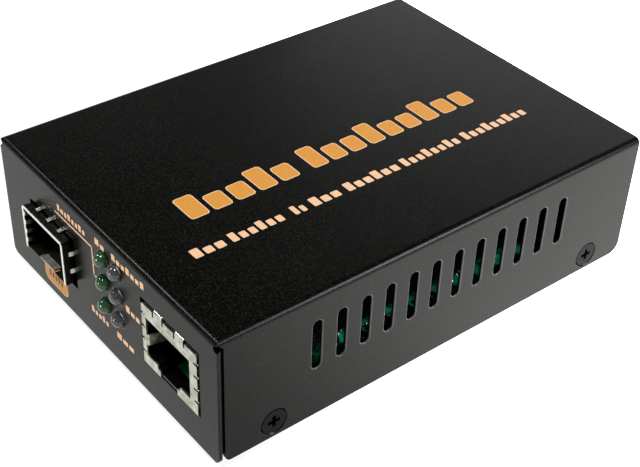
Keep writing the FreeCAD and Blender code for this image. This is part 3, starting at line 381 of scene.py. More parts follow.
# %% [markdown]
# ## Powder paint
# Powder is sprayed dry and melted in an oven, and it keeps a fine pebbled skin, a few tenths of a
# millimetre across. It could be an even black with some gloss, but then it looks like plastic.
# The paint itself is nearly black, with flecks that are a little lighter. Its greys are what its
# skin mirrors, spread by the pebbles, and a wider noise gives the slight clouding of a thin coat.
# A low IOR keeps the mirror weak, as it is on matt paint.

# %% Powder paint
pebble_size, pebble_height = 0.3 * MM, 0.018 * MM
fleck_size = 0.24 * MM
fleck_low, fleck_high = 0.5, 0.78
cloud_size = 14 * MM


def powder(name, dark, light, gloss):
    """Paint that is dark between its flecks and light on them, over a skin of pebbles."""
    material = new_finish(name, IOR=1.2)
    pebbles = grain_of(material, pebble_size, detail=2.0)
    flecks = grain_of(material, fleck_size, detail=1.0)
    clouds = grain_of(material, cloud_size, detail=2.0)
    stops = [(fleck_low, dark), (fleck_high, light)]
    join(material, ramp_of(material, flecks, stops), "Base Color")
    join(material, range_of(material, clouds, *gloss), "Roughness")
    set_relief(material, pebbles, pebble_height)
    return material


finishes = {
    "powder_black": powder("powder_black", (0.0002, 0.0003, 0.0001), (0.011, 0.013, 0.009),
                           (0.27, 0.31)),
    "tray_black": powder("tray_black", (0.0006, 0.0006, 0.0006), (0.016, 0.016, 0.016),
                         (0.34, 0.40)),
}
print("paints", list(finishes))

# %% [markdown]
# ## Metals
# Metals differ in how they were made: rolled steel and nickel are mottled where they were
# pressed, turned brass and gold plate are clean, and drawn cans have streaks along them. Each
# entry gives two colours, the size of the grain, the range of roughness and the depth of the
# bumps, and a stretch where the grain is longer one way. The screws are blackened, and the
# cooling fins are dyed black, so their colour is not a bare metal's.

# %% Metals
finishes.update({
    "shield_nickel": mottled("shield_nickel", (0.26, 0.26, 0.20), (0.56, 0.56, 0.48), 1.3 * MM,
                             (0.24, 0.36), 0.003 * MM, Metallic=1.0),
    "contact_gold": mottled("contact_gold", (0.80, 0.52, 0.18), (0.92, 0.64, 0.26), 0.3 * MM,
                            (0.14, 0.24), 0.001 * MM, Metallic=1.0),
    "lead_tin": mottled("lead_tin", (0.58, 0.58, 0.57), (0.72, 0.72, 0.70), 0.25 * MM,
                        (0.25, 0.4), 0.003 * MM, Metallic=1.0),
    "standoff_brass": mottled("standoff_brass", (0.62, 0.44, 0.16), (0.74, 0.55, 0.24), 0.3 * MM,
                              (0.2, 0.32), 0.002 * MM, Metallic=1.0),
    "board_screw_steel": mottled("board_screw_steel", (0.52, 0.52, 0.52), (0.66, 0.66, 0.65),
                                 0.3 * MM, (0.22, 0.34), 0.002 * MM, Metallic=1.0),
    "screw_black": mottled("screw_black", (0.002, 0.002, 0.002), (0.006, 0.006, 0.006),
                           0.25 * MM, (0.3, 0.38), 0.004 * MM, IOR=1.12),
    "sink_aluminium": mottled("sink_aluminium", (0.03, 0.03, 0.03), (0.05, 0.05, 0.05), 0.4 * MM,
                              (0.4, 0.5), 0.004 * MM, (1, 0.1, 1)),
    "can_aluminium": mottled("can_aluminium", (0.66, 0.66, 0.66), (0.8, 0.8, 0.8), 0.3 * MM,
                             (0.2, 0.3), 0.002 * MM, (1, 1, 0.2), Metallic=1.0),
    "crystal_steel": mottled("crystal_steel", (0.6, 0.6, 0.59), (0.72, 0.72, 0.7), 0.3 * MM,
                             (0.22, 0.34), 0.002 * MM, (1, 0.2, 1), Metallic=1.0),
})
print("finishes with the metals", len(finishes))

# %% [markdown]
# ## Plastics, rubber and parts on the board
# Plastics take the grain of their mould: the jack is smooth, the inlet and the lights' holder are
# dull, and the feet are soft rubber with a dusty skin. The parts on the board are pressed from
# powders, such as the grey coils, or moulded, such as the chips. They are seen only as dim shapes
# through the slots, so a mottled finish is enough for them.

# %% Plastics, rubber and parts on the board
finishes.update({
    "jack_black": mottled("jack_black", (0.0008, 0.0008, 0.001), (0.002, 0.002, 0.0022),
                          0.2 * MM, (0.18, 0.26), 0.003 * MM, IOR=1.35),
    "inlet_black": mottled("inlet_black", (0.006, 0.006, 0.006), (0.011, 0.011, 0.011), 0.2 * MM,
                           (0.32, 0.42), 0.006 * MM),
    "holder_black": mottled("holder_black", (0.005, 0.005, 0.005), (0.009, 0.009, 0.009),
                            0.2 * MM, (0.4, 0.5), 0.006 * MM),
    "foot_rubber": mottled("foot_rubber", (0.010, 0.010, 0.010), (0.018, 0.018, 0.018), 0.3 * MM,
                           (0.7, 0.85), 0.02 * MM),
    "chip_black": mottled("chip_black", (0.010, 0.010, 0.011), (0.020, 0.020, 0.021), 0.12 * MM,
                          (0.5, 0.62), 0.005 * MM),
    "pad_grey": mottled("pad_grey", (0.30, 0.32, 0.33), (0.38, 0.40, 0.41), 0.3 * MM,
                        (0.7, 0.8), 0.01 * MM),
    "inductor_grey": mottled("inductor_grey", (0.05, 0.05, 0.055), (0.10, 0.10, 0.105),
                             0.12 * MM, (0.5, 0.7), 0.012 * MM),
    "fuse_white": mottled("fuse_white", (0.72, 0.70, 0.64), (0.82, 0.80, 0.75), 0.3 * MM,
                          (0.4, 0.5), 0.004 * MM),
    "chip_tan": mottled("chip_tan", (0.10, 0.07, 0.04), (0.16, 0.11, 0.07), 0.15 * MM,
                        (0.35, 0.45), 0.003 * MM),
})
print("finishes with the plastics", len(finishes))

# %% [markdown]
# ## The module cage
# The cage and its collar of springs are tinned steel. The flat faces mirror the dark room, and the
# steel's colour is painted nearly black, a painted shade. The rim of the mouth, the crests of the
# springs that press on the case, and the tip of the latch tongue in the mouth have a painted
# highlight: a light colour where they catch the light. These places could be pieces of their own,
# but a highlight has no edge. Each of them lies within a known distance of the mouth, so the
# brightness of one finish follows the depth behind it.

# %% Steel with painted shade and painted highlights
# The dark colour is a painted shade; the light ones are painted highlights on the rim, the springs
# and the lip.
painted_shade_steel = (0.022, 0.024, 0.018)
painted_highlight_steel = (0.86, 0.87, 0.82)
painted_lip_highlight = (0.44, 0.45, 0.39)
streak_size, streak_depth = 0.5 * MM, 0.001 * MM
streak_stretch = (1, 0.3, 1)
streak_shade = 0.75


def steel_with_painted_light(name, shine, bright, gloss):
    """Steel with a painted shade where shine is nought and a painted highlight where it is one,
    with faint streaks.
    """
    material = new_finish(name, Metallic=1.0)
    streaks = grain_of(material, streak_size, detail=2.0, stretch=streak_stretch)
    shown = both_of(material, shine(material), range_of(material, streaks, streak_shade, 1.0))
    join(material, ramp_of(material, shown, [(0.0, painted_shade_steel), (1.0, bright)]), "Base Color")
    join(material, range_of(material, streaks, *gloss), "Roughness")
    set_relief(material, streaks, streak_depth)
    return material


cage_low, cage_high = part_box("sfp_cage")
print("the mouth is at", round(cage_low.y / MM, 2), "mm")

# %% [markdown]
# The distances are measured from the mouth. The collar's own rim stands a little in front of the
# cage's, so its distance is negative. Each change from painted shade to painted highlight is
# spread over a short blur.

# %% Where the cage's highlights are painted
highlight_rim = 0.08 * MM
collar_rim = -0.06 * MM
spring_start = 1.0 * MM
wall_start, wall_end = 0.9 * MM, 1.1 * MM
lip_end = 1.5 * MM
lip_half = 2.5 * MM
edge_blur = 0.08 * MM


def near_mouth(depth):
    """Painted highlight on everything less than depth behind the mouth."""
    end = cage_low.y + depth
    return lambda material: ease_of(material, "Y", end + edge_blur, end)


def on_springs(material):
    """Painted highlight on the crests of the springs, and not on those inside the left wall."""
    crest = cage_low.y + spring_start
    start = ease_of(material, "Y", crest, crest + edge_blur)
    outside = ease_of(material, "X", cage_low.x + wall_start, cage_low.x + wall_end)
    rim = near_mouth(collar_rim)(material)
    return both_of(material, both_of(material, start, outside), rim, "MAXIMUM")


def on_lip(material):
    """Painted highlight on the tip of the tongue, in the middle of the mouth's floor."""
    middle = (cage_low.x + cage_high.x) / 2
    left = ease_of(material, "X", middle - lip_half, middle - lip_half + edge_blur)
    right = ease_of(material, "X", middle + lip_half, middle + lip_half - edge_blur)
    return both_of(material, both_of(material, left, right), near_mouth(lip_end)(material))


finishes["cage_steel"] = steel_with_painted_light("cage_steel", near_mouth(highlight_rim), painted_highlight_steel, (0.14, 0.2))
finishes["collar_steel"] = steel_with_painted_light("collar_steel", on_springs, painted_highlight_steel, (0.32, 0.4))
cage_lip = steel_with_painted_light("cage_lip", on_lip, painted_lip_highlight, (0.4, 0.5))
print("cage finishes", finishes["cage_steel"].name, finishes["collar_steel"].name, cage_lip.name)

# %% [markdown]
# ## The inks
# The print is silk-screened in two passes: a pale one that stands out a little past the edge, and
# an orange one on top of it. The small marks have the pale ink only, so thin that it looks
# slightly burnt on the black. The ink could be a colour in the paint's own finish, but it is a
# layer with a thickness and a gloss of its own, so it has finishes of its own too.

# %% The inks
ink_grain = 0.3 * MM
ink_gloss = (0.45, 0.55)
ink_relief = 0.004 * MM


def ink(name, dark, light):
    """A matt ink, slightly uneven, as the mesh of the screen leaves it."""
    return mottled(name, dark, light, ink_grain, ink_gloss, ink_relief, IOR=1.3)


finishes["print_orange"] = ink("print_orange", (0.44, 0.19, 0.029), (0.52, 0.232, 0.040))
print_pale = ink("print_pale", (0.55, 0.34, 0.20), (0.66, 0.42, 0.255))
print_cream = ink("print_cream", (0.58, 0.34, 0.18), (0.78, 0.49, 0.29))
print("inks", [m.name for m in (finishes["print_orange"], print_pale, print_cream)])

# %% [markdown]
# ## The board
# A board is glass cloth under a green lacquer. The lacquer is glossy, and where copper lies under
# it the green is brighter. The copper's lanes could be drawn one by one, but only glimpses of
# them are seen through the slots and the jack. So their edges come from a cell pattern on a
# square lattice, in a band behind the slots and in another along the front. These bands are also
# painted light: their green is far brighter where light falls in through the slots and the jack,
# and the green elsewhere is painted nearly black, a painted shade.

# %% The board
# The bands where the green is bright: copper under the lacquer, and painted light falling in
# through the slots and the jack.
copper_and_light_inner = 26.6 * MM
copper_and_light_outer = 30.6 * MM
copper_and_light_front = -36.0 * MM
copper_and_light_blur = 0.4 * MM
lane_size = 2.2 * MM
lane_start, lane_end = 0.28, 0.34
lane_shade = 0.45
weave_size, weave_depth = 0.4 * MM, 0.004 * MM
lacquer_gloss = (0.2, 0.34)
# The dark green is partly a painted shade, and the bright green partly painted light.
green_on_cloth_painted_shade = (0.0006, 0.009, 0.004)
green_on_copper_painted_light = (0.03, 0.85, 0.44)


def lacquered_board():
    """Green lacquer, dark over bare cloth and bright over the copper behind the slots and the
    front. The dark is partly a painted shade, and the bright partly painted light that falls in
    through the slots and the jack. The lanes are dimmer: they lie from lane_start on, measured
    from a cell's middle."""
    material = new_finish("board_green", IOR=1.4)
    lanes = add_node(material, "ShaderNodeTexVoronoi", {"Vector": place_of(material)},
                     distance="CHEBYCHEV", feature="F1", Scale=1 / lane_size).outputs["Distance"]
    weave = grain_of(material, weave_size, detail=2.0)
    inner = ease_of(material, "X", copper_and_light_inner - copper_and_light_blur, copper_and_light_inner + copper_and_light_blur)
    outer = ease_of(material, "X", copper_and_light_outer + copper_and_light_blur, copper_and_light_outer - copper_and_light_blur)
    front = ease_of(material, "Y", copper_and_light_front + copper_and_light_blur, copper_and_light_front - copper_and_light_blur)
    copper_and_painted_light = both_of(material, both_of(material, inner, outer), front, "MAXIMUM")
    shade = range_of(material, lanes, 1.0, lane_shade, lane_start, lane_end)
    copper_and_painted_light = both_of(material, copper_and_painted_light, shade)
    colour = ramp_of(material, copper_and_painted_light, [(0.0, green_on_cloth_painted_shade), (1.0, green_on_copper_painted_light)])
    join(material, colour, "Base Color")
    join(material, range_of(material, weave, *lacquer_gloss), "Roughness")
    set_relief(material, weave, weave_depth)
    return material


finishes["board_green"] = lacquered_board()

# %% [markdown]
# ## The resin of the lenses
# The lenses are cast epoxy. The clear ones let nearly all the light through, and the green ones
# have a dye and a milky filler that spreads the light. Glass would be the nearest ready finish,
# but it has no milk in it. So a share of the surface is clear, and the rest is an even colour.

# %% The resin of the lenses
flow_size = 1.2 * MM
resin_gloss = (0.02, 0.04)


def epoxy(name, dark, light, clear):
    """Dyed epoxy: its share clear lets light through, and its skin has faint flow marks."""
    material = new_finish(name, IOR=1.5, Transmission_Weight=clear)
    flow = grain_of(material, flow_size, detail=1.0)
    stops = [(grain_low, dark), (grain_high, light)]
    join(material, ramp_of(material, flow, stops), "Base Color")
    join(material, range_of(material, flow, *resin_gloss), "Roughness")
    return material


finishes["lens_green"] = epoxy("lens_green", (0.030, 0.10, 0.042), (0.042, 0.13, 0.056),
                               clear=0.45)
finishes["lens_clear"] = epoxy("lens_clear", (0.70, 0.70, 0.69), (0.82, 0.82, 0.81), clear=0.94)
print("resins", finishes["lens_green"].name, finishes["lens_clear"].name)

# %% [markdown]
# ## Every part gets its finish
# The record of the frame says for each part which kind of finish it has. The names there are the
# keys of the finishes above, so one loop dresses them all. The floor of the cage is the only
# exception, because the painted highlight on the tip of the tongue belongs to it.

# %% Every part gets its finish
for row in frame["record"]["subparts"]:
    slots = nodes[row["node"]].data.materials
    slots.clear()
    slots.append(cage_lip if row["node"] == "sfp_cage_floor" else finishes[row["material_slot"]])

# %% [markdown]
# ## Putting a surface into a mesh
# New pieces are grids of points, worked out by numpy. A grid has rows that go along the piece and
# columns that go round it, and each row closes on itself. The first and last rows end on the
# axis or in the middle of a flat end, and their points are merged there, so that every piece is
# closed. A ring is closed the other way: its last row joins its first.

# %% Faces of a grid
merge_distance = 1e-8


def grid_faces(rows, columns):
    """Quads between neighbours of a grid whose last column joins its first."""
    i, j = np.meshgrid(np.arange(rows - 1), np.arange(columns), indexing="ij")
    k = (j + 1) % columns
    quads = np.stack([i * columns + j, i * columns + k, (i + 1) * columns + k,
                      (i + 1) * columns + j], axis=-1)
    return quads.reshape(-1, 4)


def tidy_mesh(mesh):
    """Merges points that lie on one another, and turns every face outwards."""
    work = bmesh.new()
    work.from_mesh(mesh)
    bmesh.ops.remove_doubles(work, verts=work.verts, dist=merge_distance)
    bmesh.ops.recalc_face_normals(work, faces=work.faces)
    work.to_mesh(mesh)
    work.free()


print("faces of a grid of 4 rows and 6 columns", len(grid_faces(4, 6)))

# %% [markdown]
# Many grids of the same size go into one piece, such as all the beads or all the marks. Their
# faces are the same list again and again, moved on by the number of points in a grid.

# %% A piece from grids
def add_grids(name, grids, slot, finish=None, replaces=(), smooth=True, close_rows=False):
    """One piece from grids of points, shaped (how many, rows, columns, 3), which rides on the
    case. Where close_rows is set, the last row joins the first one, as on a ring."""
    grids = np.asarray(grids, float)
    count, rows, columns, _ = grids.shape
    if close_rows:
        grids = np.concatenate([grids, grids[:, :1]], axis=1)
        rows += 1
    faces = grid_faces(rows, columns)
    faces = (faces[None] + (np.arange(count) * rows * columns)[:, None, None]).reshape(-1, 4)
    mesh = bpy.data.meshes.new(name)
    mesh.from_pydata(grids.reshape(-1, 3).tolist(), [], faces.tolist())
    tidy_mesh(mesh)
    mesh.materials.append(finish or finishes[slot])
    mesh.polygons.foreach_set("use_smooth", [smooth] * len(mesh.polygons))
    made = bpy.data.objects.new(name, mesh)
    scene.collection.objects.link(made)
    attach(made, "root")
    if replaces:
        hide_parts(*replaces)
    print(name, count, "forms,", len(mesh.polygons), "faces")
    return made


print("pieces can be made from grids")

# %% [markdown]
# ## The lenses
# Each signal light is a 3 mm lens, cast round a tiny metal frame: a straight body with a round
# tip, and a collar at its foot. It could be a cylinder joined to a ball, but the seam between
# them would show in the gloss. Turning one outline about its axis gives the whole of it without a
# seam, as the round cup did that it was cast in.

# %% Outline of a lens
lens_names = [n for n in nodes if n.startswith(("led_green_", "led_clear_"))]
lens_radius = 1.45 * MM
collar_length = 1.0 * MM
tip_steps = 17


def lens_outline(length, collar_radius):
    """Radius and depth from the tip: a quarter circle, a straight wall, a collar and a flat foot.
    Both ends lie on the axis."""
    turn = np.linspace(0, np.pi / 2, tip_steps)
    step = length - collar_length
    radius = np.concatenate([lens_radius * np.sin(turn),
                             [lens_radius, collar_radius, collar_radius, 0]])
    depth = np.concatenate([lens_radius * (1 - np.cos(turn)), [step, step, length, length]])
    return radius, depth


print("lenses", lens_names)

# %% [markdown]
# The outline is turned in 64 steps, fine enough for the edge of a lens to look round close up.
# Each lens takes its length and the width of its collar from the plain solid it stands for, so it
# fits the same hole in the holder.

# %% The lenses
lens_steps = 64


def turned_grid(radius, depth, centre, steps):
    """An outline turned about a level axis that runs back from centre: radius times cosine and
    sine across, depth along."""
    angle = np.linspace(0, 2 * np.pi, steps, endpoint=False)
    x = centre[0] + np.outer(radius, np.cos(angle))
    y = centre[1] + np.repeat(np.asarray(depth)[:, None], steps, axis=1)
    z = centre[2] - np.outer(radius, np.sin(angle))
    return np.stack([x, y, z], axis=-1)


def lens_centre(node):
    """The tip of a lens: the middle of its box from side to side and from foot to top."""
    low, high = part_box(node)
    return (low.x + high.x) / 2, low.y, (low.z + high.z) / 2


for node in lens_names:
    low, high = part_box(node)
    outline = lens_outline(high.y - low.y, (high.x - low.x) / 2)
    add_grids(node.replace("led_", "lens_"),
              [turned_grid(*outline, lens_centre(node), lens_steps)],
              "lens_green" if "green" in node else "lens_clear", replaces=[node])

# %% [markdown]
# ## The metal in the lenses
# Two stamped legs run up inside each lens. One carries a small cup that holds the light, and the
# other stops beside it. Through clear resin they are what gives a lens its dark heart. They could
# be boxes stacked on one another, but those would meet inside the metal. They are square rods
# instead, whose width is a function of the depth: the rows of each grid are squares of that
# width. The cup is hollowed by its last rows, which go back down inside it.

# %% Square rods
leg_half = 0.16 * MM
leg_offset = 0.32 * MM
leg_foot = 0.2 * MM
cup_half = 0.34 * MM
cup_depth = 2.0 * MM
cup_taper = 0.8
cup_rows = cup_depth + np.array([0.9, 0.5, 0.0, 0.0, 0.3]) * MM
leg_rows = cup_depth + np.array([1.1, 0.9, 0.6, 0.2, 0.2]) * MM


def square_rod(centre, offset, halves, depths):
    """Squares of the given half widths at the given depths behind centre, moved by offset in X."""
    corner = np.array([[-1, -1], [1, -1], [1, 1], [-1, 1]])
    flat = np.asarray(halves, float)[:, None, None] * corner[None]
    x = centre[0] + offset + flat[..., 0]
    y = centre[1] + np.repeat(np.asarray(depths, float)[:, None], 4, axis=1)
    z = centre[2] + flat[..., 1]
    return np.stack([x, y, z], axis=-1)


def cup_leg(centre, foot):
    """The leg that widens to a cup. Foot is the depth at which it starts."""
    return square_rod(centre, -leg_offset,
                      [0, leg_half, leg_half, cup_half, cup_half, cup_half * cup_taper, 0],
                      [foot, foot, *cup_rows])


def plain_leg(centre, foot):
    """The straight leg beside it, which stops just behind the rim of the cup. It has as many
    rows as the other one, because both are grids of one piece."""
    return square_rod(centre, leg_offset, [0] + [leg_half] * len(leg_rows) + [0],
                      [foot, foot, *leg_rows])


print("the cups are", round(cup_depth / MM, 1), "mm behind the tips")

# %% [markdown]
# Both legs start a little in front of the lens's foot, where the holder hides them, so they need
# no match with the leads below. All twelve rods are one piece, as they have the same finish and
# never move apart.

# %% The metal in the lenses
legs = []
for node in lens_names:
    low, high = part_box(node)
    foot = high.y - low.y - leg_foot
    legs.append(cup_leg(lens_centre(node), foot))
    legs.append(plain_leg(lens_centre(node), foot))
add_grids("lens_legs", legs, "lead_tin", smooth=False)

# %% [markdown]
# ## The edges of the paint
# Powder melts back from a sharp edge and gathers beside it, so the slots in the sides and the
# holes of the lights have a thin round bead of paint round them. A bevel on the sheet would catch
# the light too, but the sheet's mesh comes from the frame and stays as it is. Each bead is a small
# circle carried round the outline of the cut-out, just under the sheet's face, so that only its
# rounded edge shows. An outline is a rounded rectangle, which is an obround or a circle where its
# sides are short enough.

# %% Outlines with round corners
def corner_ways(steps):
    """Directions round a full turn, that many to a quarter, and the corner each belongs to."""
    turn = np.linspace(0, np.pi / 2, steps)
    angle = (np.arange(4)[:, None] * np.pi / 2 + turn).ravel()
    way = np.stack([np.cos(angle), np.sin(angle)], axis=-1)
    corner = np.array([[1, 1], [-1, 1], [-1, -1], [1, -1]]).repeat(steps, axis=0)
    return way, corner


def rounded_loop(half_wide, half_tall, radius, steps=12):
    """Points and outward directions round a rectangle with round corners: the corner's centre
    plus the radius times cosine and sine."""
    way, corner = corner_ways(steps)
    return corner * [half_wide - radius, half_tall - radius] + way * radius, way


print("points round an outline", len(rounded_loop(1.0, 1.0, 0.5)[0]))

# %% [markdown]
# The melted edge is smoother than the skin round it, so the bead's paint is glossier and has
# hardly any pebbles. Its colour is a little lighter than the paint's, a painted highlight along
# the edge. Its grid has a small circle at each point of the outline, which leans the way the
# outline faces there.

# %% Beads of paint
cover_low, cover_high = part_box("cover")
bead_radius = 0.2 * MM
bead_sides = 8
# The bead's colour is a little lighter than the paint's: a painted highlight along the edge.
bead_paint_with_highlight = mottled("bead_paint_with_highlight", (0.012, 0.012, 0.011), (0.03, 0.03, 0.028), 0.3 * MM,
                     (0.2, 0.28), 0.003 * MM, IOR=1.5)


def bead_grid(half_wide, half_tall, radius, middle, across, up, out):
    """A circle of bead_radius carried round the loop. Middle is on the sheet's outer face, across
    and up span the face, and out leaves it."""
    loop, way = rounded_loop(half_wide, half_tall, radius)
    across, up, out = (np.array(v, float) for v in (across, up, out))
    turn = np.linspace(0, 2 * np.pi, bead_sides, endpoint=False)
    flat = loop[:, None] + way[:, None] * (np.cos(turn)[None, :, None] * bead_radius)
    level = (np.sin(turn) - 1) * bead_radius
    return (np.array(middle) + flat[..., :1] * across + flat[..., 1:] * up
            + level[None, :, None] * out)


print("the beads' top is level with the sheet, their middle", bead_radius / MM, "mm under it")

# %% [markdown]
# The slots stand in a row of twelve on each side, evenly spaced about the middle of the cover.
# Their pitch, half width, half height and level are those of the cut-outs in the cover's sheet.

# %% Beads round the slots
slot_pitch = 5.09 * MM
slot_count = 12
slot_half = (1.15 * MM, 5.25 * MM)
slot_level = 17.1 * MM
cover_middle_y = (cover_low.y + cover_high.y) / 2
slot_beads = []
for side in (-1, 1):
    for index in range(slot_count):
        y = cover_middle_y + (index - (slot_count - 1) / 2) * slot_pitch
        slot_beads.append(bead_grid(*slot_half, slot_half[0], (side * cover_high.x, y, slot_level),
                                    (0, 1, 0), (0, 0, 1), (side, 0, 0)))
add_grids("slot_beads", slot_beads, "powder_black", bead_paint_with_highlight, close_rows=True)

# %% [markdown]
# The holes of the lights are a little wider than the lenses, which stand in the middle of them. A
# circle is a rounded rectangle whose corners take up all of its sides.

# %% Beads round the holes of the lights
hole_gap = 0.3 * MM
hole_radius = lens_radius + hole_gap
hole_beads = [bead_grid(hole_radius, hole_radius, hole_radius,
                        (lens_centre(n)[0], cover_low.y, lens_centre(n)[2]),
                        (1, 0, 0), (0, 0, 1), (0, -1, 0)) for n in lens_names]
add_grids("light_hole_beads", hole_beads, "powder_black", bead_paint_with_highlight, close_rows=True)

# %% [markdown]
# ## The print
# The cover carries two rows of silk-screened print, and the front has small marks beside the
# lights. The part is plain, so each mark is a simple rounded block. The blocks could be a pattern
# in the paint, but ink lies on paint as a thin layer, and a layer has an edge that catches light.
# Every block is a small flat tile: rings of points that start in the middle of its foot, run out
# to its edge, rise to its shoulder and close in the middle of its top.

# %% Tiles
ink_height = 0.02 * MM
tile_steps = 5
tile_rings = ((0, 0), (1, 0), (1, 0.6), (0.985, 1), (0, 1))
largest_round = 0.98


def tile_grids(boxes, radius, height, axes, origin):
    """Tiles with round corners, from rows of left, low, right and high in millimetres. Each ring
    is the tile's outline drawn in towards its middle by a share, at its own level."""
    boxes = np.array(boxes, float) * MM
    low, high = boxes[:, :2], boxes[:, 2:]
    middle = (low + high) / 2
    half = (high - low) / 2
    round_off = np.minimum(radius * MM, half.min(axis=1) * largest_round)[:, None, None]
    way, corner = corner_ways(tile_steps)
    loop = corner[None] * (half[:, None] - round_off) + way[None] * round_off
    rings = []
    for share, level in tile_rings:
        levels = np.full(loop.shape[:2] + (1,), level * height)
        rings.append(np.concatenate([middle[:, None] + loop * share, levels], axis=-1))
    flat = np.stack(rings, axis=1)
    across, along, up = (np.array(v, float) for v in axes)
    return (np.array(origin, float) + flat[..., :1] * across + flat[..., 1:2] * along
            + flat[..., 2:] * up)


def grown(boxes, rim):
    """Boxes widened by rim on every side."""
    return np.asarray(boxes, float) + np.array([-rim, -rim, rim, rim])


print("the ink is", ink_height / MM, "mm thick")

# %% [markdown]
# Blocks of one height would look like a ruler. So a row is made of groups, with a wide gap
# between them, and the first of each three blocks in a group is tall. The numbers are millimetres
# on the cover's top, from its middle: along a row they grow from the front of the case to its
# back, and across a row from its right side to its left. Each group is a start, an end and a
# number of blocks, and each size is the level of the row's foot, the heights of a tall and a
# small block, and the gap between blocks.

# %% Rows on the top
top_axes = ((0, 1, 0), (-1, 0, 0), (0, 0, 1))
top_origin = (0, 0, cover_high.z)
rim_width = 0.2
round_rim, round_one, round_two = 0.7, 0.5, 0.25
size_one = (-6.7, 6.1, 4.2, 1.35)
size_two = (-15.8, 2.4, 1.7, 0.55)
groups_one = ((-32.0, -9.6, 5), (-6.2, 32.1, 9))
groups_two = ((-37.4, -31.3, 3), (-30.0, -19.5, 6), (-17.3, -14.8, 2), (-13.3, -7.4, 3),
              (-5.8, 5.9, 6), (7.1, 20.4, 8), (21.8, 37.3, 9))


def block_group(start, end, count, foot, tall, small, gap):
    """Blocks along a row: count blocks from start to end, the first of each three tall."""
    width = (end - start - gap * (count - 1)) / count
    left = start + np.arange(count) * (width + gap)
    height = np.where(np.arange(count) % 3 == 0, tall, small)
    return np.stack([left, np.full(count, foot), left + width, foot + height], axis=-1)


row_one = np.concatenate([block_group(*span, *size_one) for span in groups_one])
row_two = np.concatenate([block_group(*span, *size_two) for span in groups_two])
add_grids("print_rim", tile_grids(grown(row_one, rim_width), round_rim, ink_height / 2, top_axes,
                                  top_origin), "print_orange", print_pale, smooth=False)
add_grids("print_row_one", tile_grids(row_one, round_one, ink_height, top_axes, top_origin),
          "print_orange", smooth=False)
add_grids("print_row_two", tile_grids(row_two, round_two, ink_height, top_axes, top_origin),
          "print_orange", print_pale, smooth=False)

# %% [markdown]
# ## The marks on the front
# Beside the lights stand small marks, and a thin line leads from one of them to the lights. They
# are made as the rows on the top are, in the cream ink, and the line is three long tiles: it runs
# level, drops, and runs level again to a light. The numbers are millimetres across the front from
# its middle, and up from the table. Each group ends with the level of its foot.

# %% Marks beside the lights
front_axes = ((1, 0, 0), (0, 0, 1), (0, -1, 0))
front_origin = (0, cover_low.y, 0)
line_half = 0.17
line_start, line_drop, line_end = -14.9, -2.42, -1.6
line_level, line_foot = 22.4, 16.2
mark_groups = ((-13.8, -4.5, 8, 23.3), (-1.1, 1.8, 2, 24.0), (4.2, 14.0, 7, 24.0),
               (7.8, 12.0, 3, 15.5), (-4.4, 1.2, 5, 7.1), (4.0, 9.4, 3, 7.0))
mark_size = (1.35, 0.95, 0.4)
round_mark, round_line = 0.15, 0.05
marks = np.concatenate([block_group(*span, *mark_size) for span in mark_groups])
lines = [(line_start, line_level - line_half, line_drop + line_half, line_level + line_half),
         (line_drop - line_half, line_foot, line_drop + line_half, line_level + line_half),
         (line_drop - line_half, line_foot, line_end, line_foot + 2 * line_half)]
add_grids("front_marks", tile_grids(marks, round_mark, ink_height, front_axes, front_origin),
          "print_orange", print_cream, smooth=False)
add_grids("front_line", tile_grids(lines, round_line, ink_height, front_axes, front_origin),
          "print_orange", print_cream, smooth=False)

# %% [markdown]
# An orange field with a pale rim lies under the mouth of the cage, with a row of black blocks on
# it. They could be gaps in the ink that show the paint, but the field would then be many narrow
# pieces. Tiles of the paint's own finish on top of the ink look the same, and the field stays a
# single tile.

# %% The orange field
field = [(-21.4, 3.5, -13.5, 8.5)]
field_group = (-19.8, -15.1, 5)
field_size = (4.9, 1.7, 1.3, 0.55)
round_outside, round_field, round_block = 1.3, 1.1, 0.2
blocks = block_group(*field_group, *field_size)
add_grids("field_rim", tile_grids(grown(field, rim_width), round_outside, ink_height / 2,
                                  front_axes, front_origin),
          "print_orange", print_pale, smooth=False)
add_grids("field", tile_grids(field, round_field, ink_height, front_axes, front_origin),
          "print_orange", smooth=False)
add_grids("field_marks", tile_grids(blocks, round_block, ink_height * 2, front_axes,
                                    front_origin), "powder_black", smooth=False)

# %% [markdown]
# ## Tinned ends of the small chips
# The small chips on the board have tinned ends, which are some of what glints behind the slots.
# They could be a second colour on the chips, but the solder on them is thicker than the chip. So
# each end is a tile a hair larger than the chip on every side.

# %% Tinned ends of the small chips
board_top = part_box("circuit_board")[1].z
board_axes = ((1, 0, 0), (0, 1, 0), (0, 0, 1))
chip_count = 10
chip_depth = 0.8
end_length = 0.3
end_growth = 0.03
end_height = 0.53 * MM
end_round = 0.08


def chip_ends(node):
    """Boxes in millimetres for the two tinned ends of every chip in a column."""
    low, high = (np.array(v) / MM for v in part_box(node))
    start = np.linspace(low[1], high[1] - chip_depth, chip_count)
    left = np.stack([np.full(chip_count, low[0]), start, np.full(chip_count, low[0] + end_length),
                     start + chip_depth], axis=-1)
    right = left + np.array([1, 0, 1, 0]) * (high[0] - low[0] - end_length)
    return grown(np.concatenate([left, right]), end_growth)


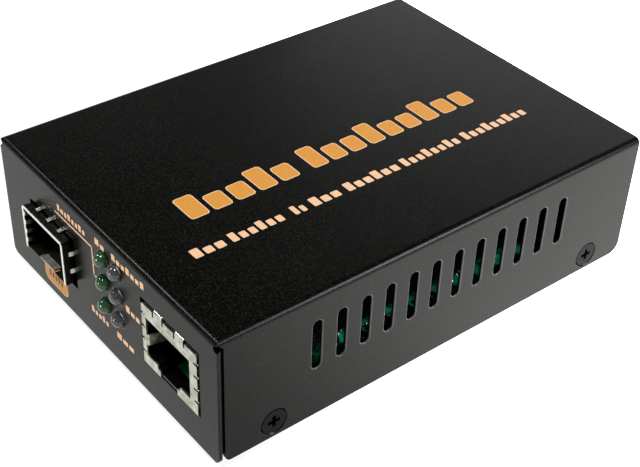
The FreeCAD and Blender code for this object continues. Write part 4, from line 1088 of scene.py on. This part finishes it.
ends = np.concatenate([chip_ends("chip_capacitors"), chip_ends("chip_resistors")])
add_grids("chip_ends", tile_grids(ends, end_round, end_height, board_axes, (0, 0, board_top)),
          "lead_tin", smooth=False)

# %% [markdown]
# ## Soldered pins
# A row of soldered pins stands along the edge of the board, and from outside they are bright
# specks behind the slots. Solder climbs a pin and ends in a round heap. Balls sunk in the board
# would do from afar, but they meet it at the wrong angle. Each heap is a dome: a quarter of a
# cosine turned about an upright axis. The pins are not quite in line nor quite alike, so their
# places and sizes are drawn at random from a fixed seed, and come out the same each time.

# %% Domes of solder
dome_rows = 6
dome_sides = 14
dome_height = 0.9


def solder_domes(x, y, radius, height):
    """Domes on the board at each x and y: height falls as a cosine of the distance."""
    share = np.linspace(0, 1, dome_rows)
    angle = np.linspace(0, 2 * np.pi, dome_sides, endpoint=False)
    size = radius[:, None, None]
    px = x[:, None, None] + size * share[None, :, None] * np.cos(angle)
    py = y[:, None, None] + size * share[None, :, None] * np.sin(angle)
    pz = board_top + (height[:, None] * np.cos(share * np.pi / 2)[None])[..., None] + 0 * px
    dome = np.stack([px, py, pz], axis=-1)
    foot = np.stack([x, y, np.full(len(x), board_top)], axis=-1)[:, None, None] + 0 * dome[:, :1]
    return np.concatenate([dome, foot], axis=1)


print("board's top at", round(board_top / MM, 2), "mm")

# %% [markdown]
# The row follows a slight wave, as hand-fitted pins do. The numbers are millimetres, and they are
# drawn in this order: the places along the row, those across it, and the sizes.

# %% Soldered pins
joint_count = 34
joint_start, joint_end = -20.0, 33.0
joint_line, joint_swing, joint_turns = 27.6, 0.8, 0.9
place_error, line_error = 0.5, 0.3
smallest_joint, largest_joint = 0.25, 0.5
seed = np.random.default_rng(7)
joint_y = (np.linspace(joint_start, joint_end, joint_count)
           + seed.uniform(-place_error, place_error, joint_count))
joint_x = (joint_line + joint_swing * np.sin(joint_y * joint_turns)
           + seed.uniform(-line_error, line_error, joint_count))
joint_radius = seed.uniform(smallest_joint, largest_joint, joint_count)
add_grids("solder_joints", solder_domes(joint_x * MM, joint_y * MM, joint_radius * MM,
                                        joint_radius * MM * dome_height), "lead_tin")
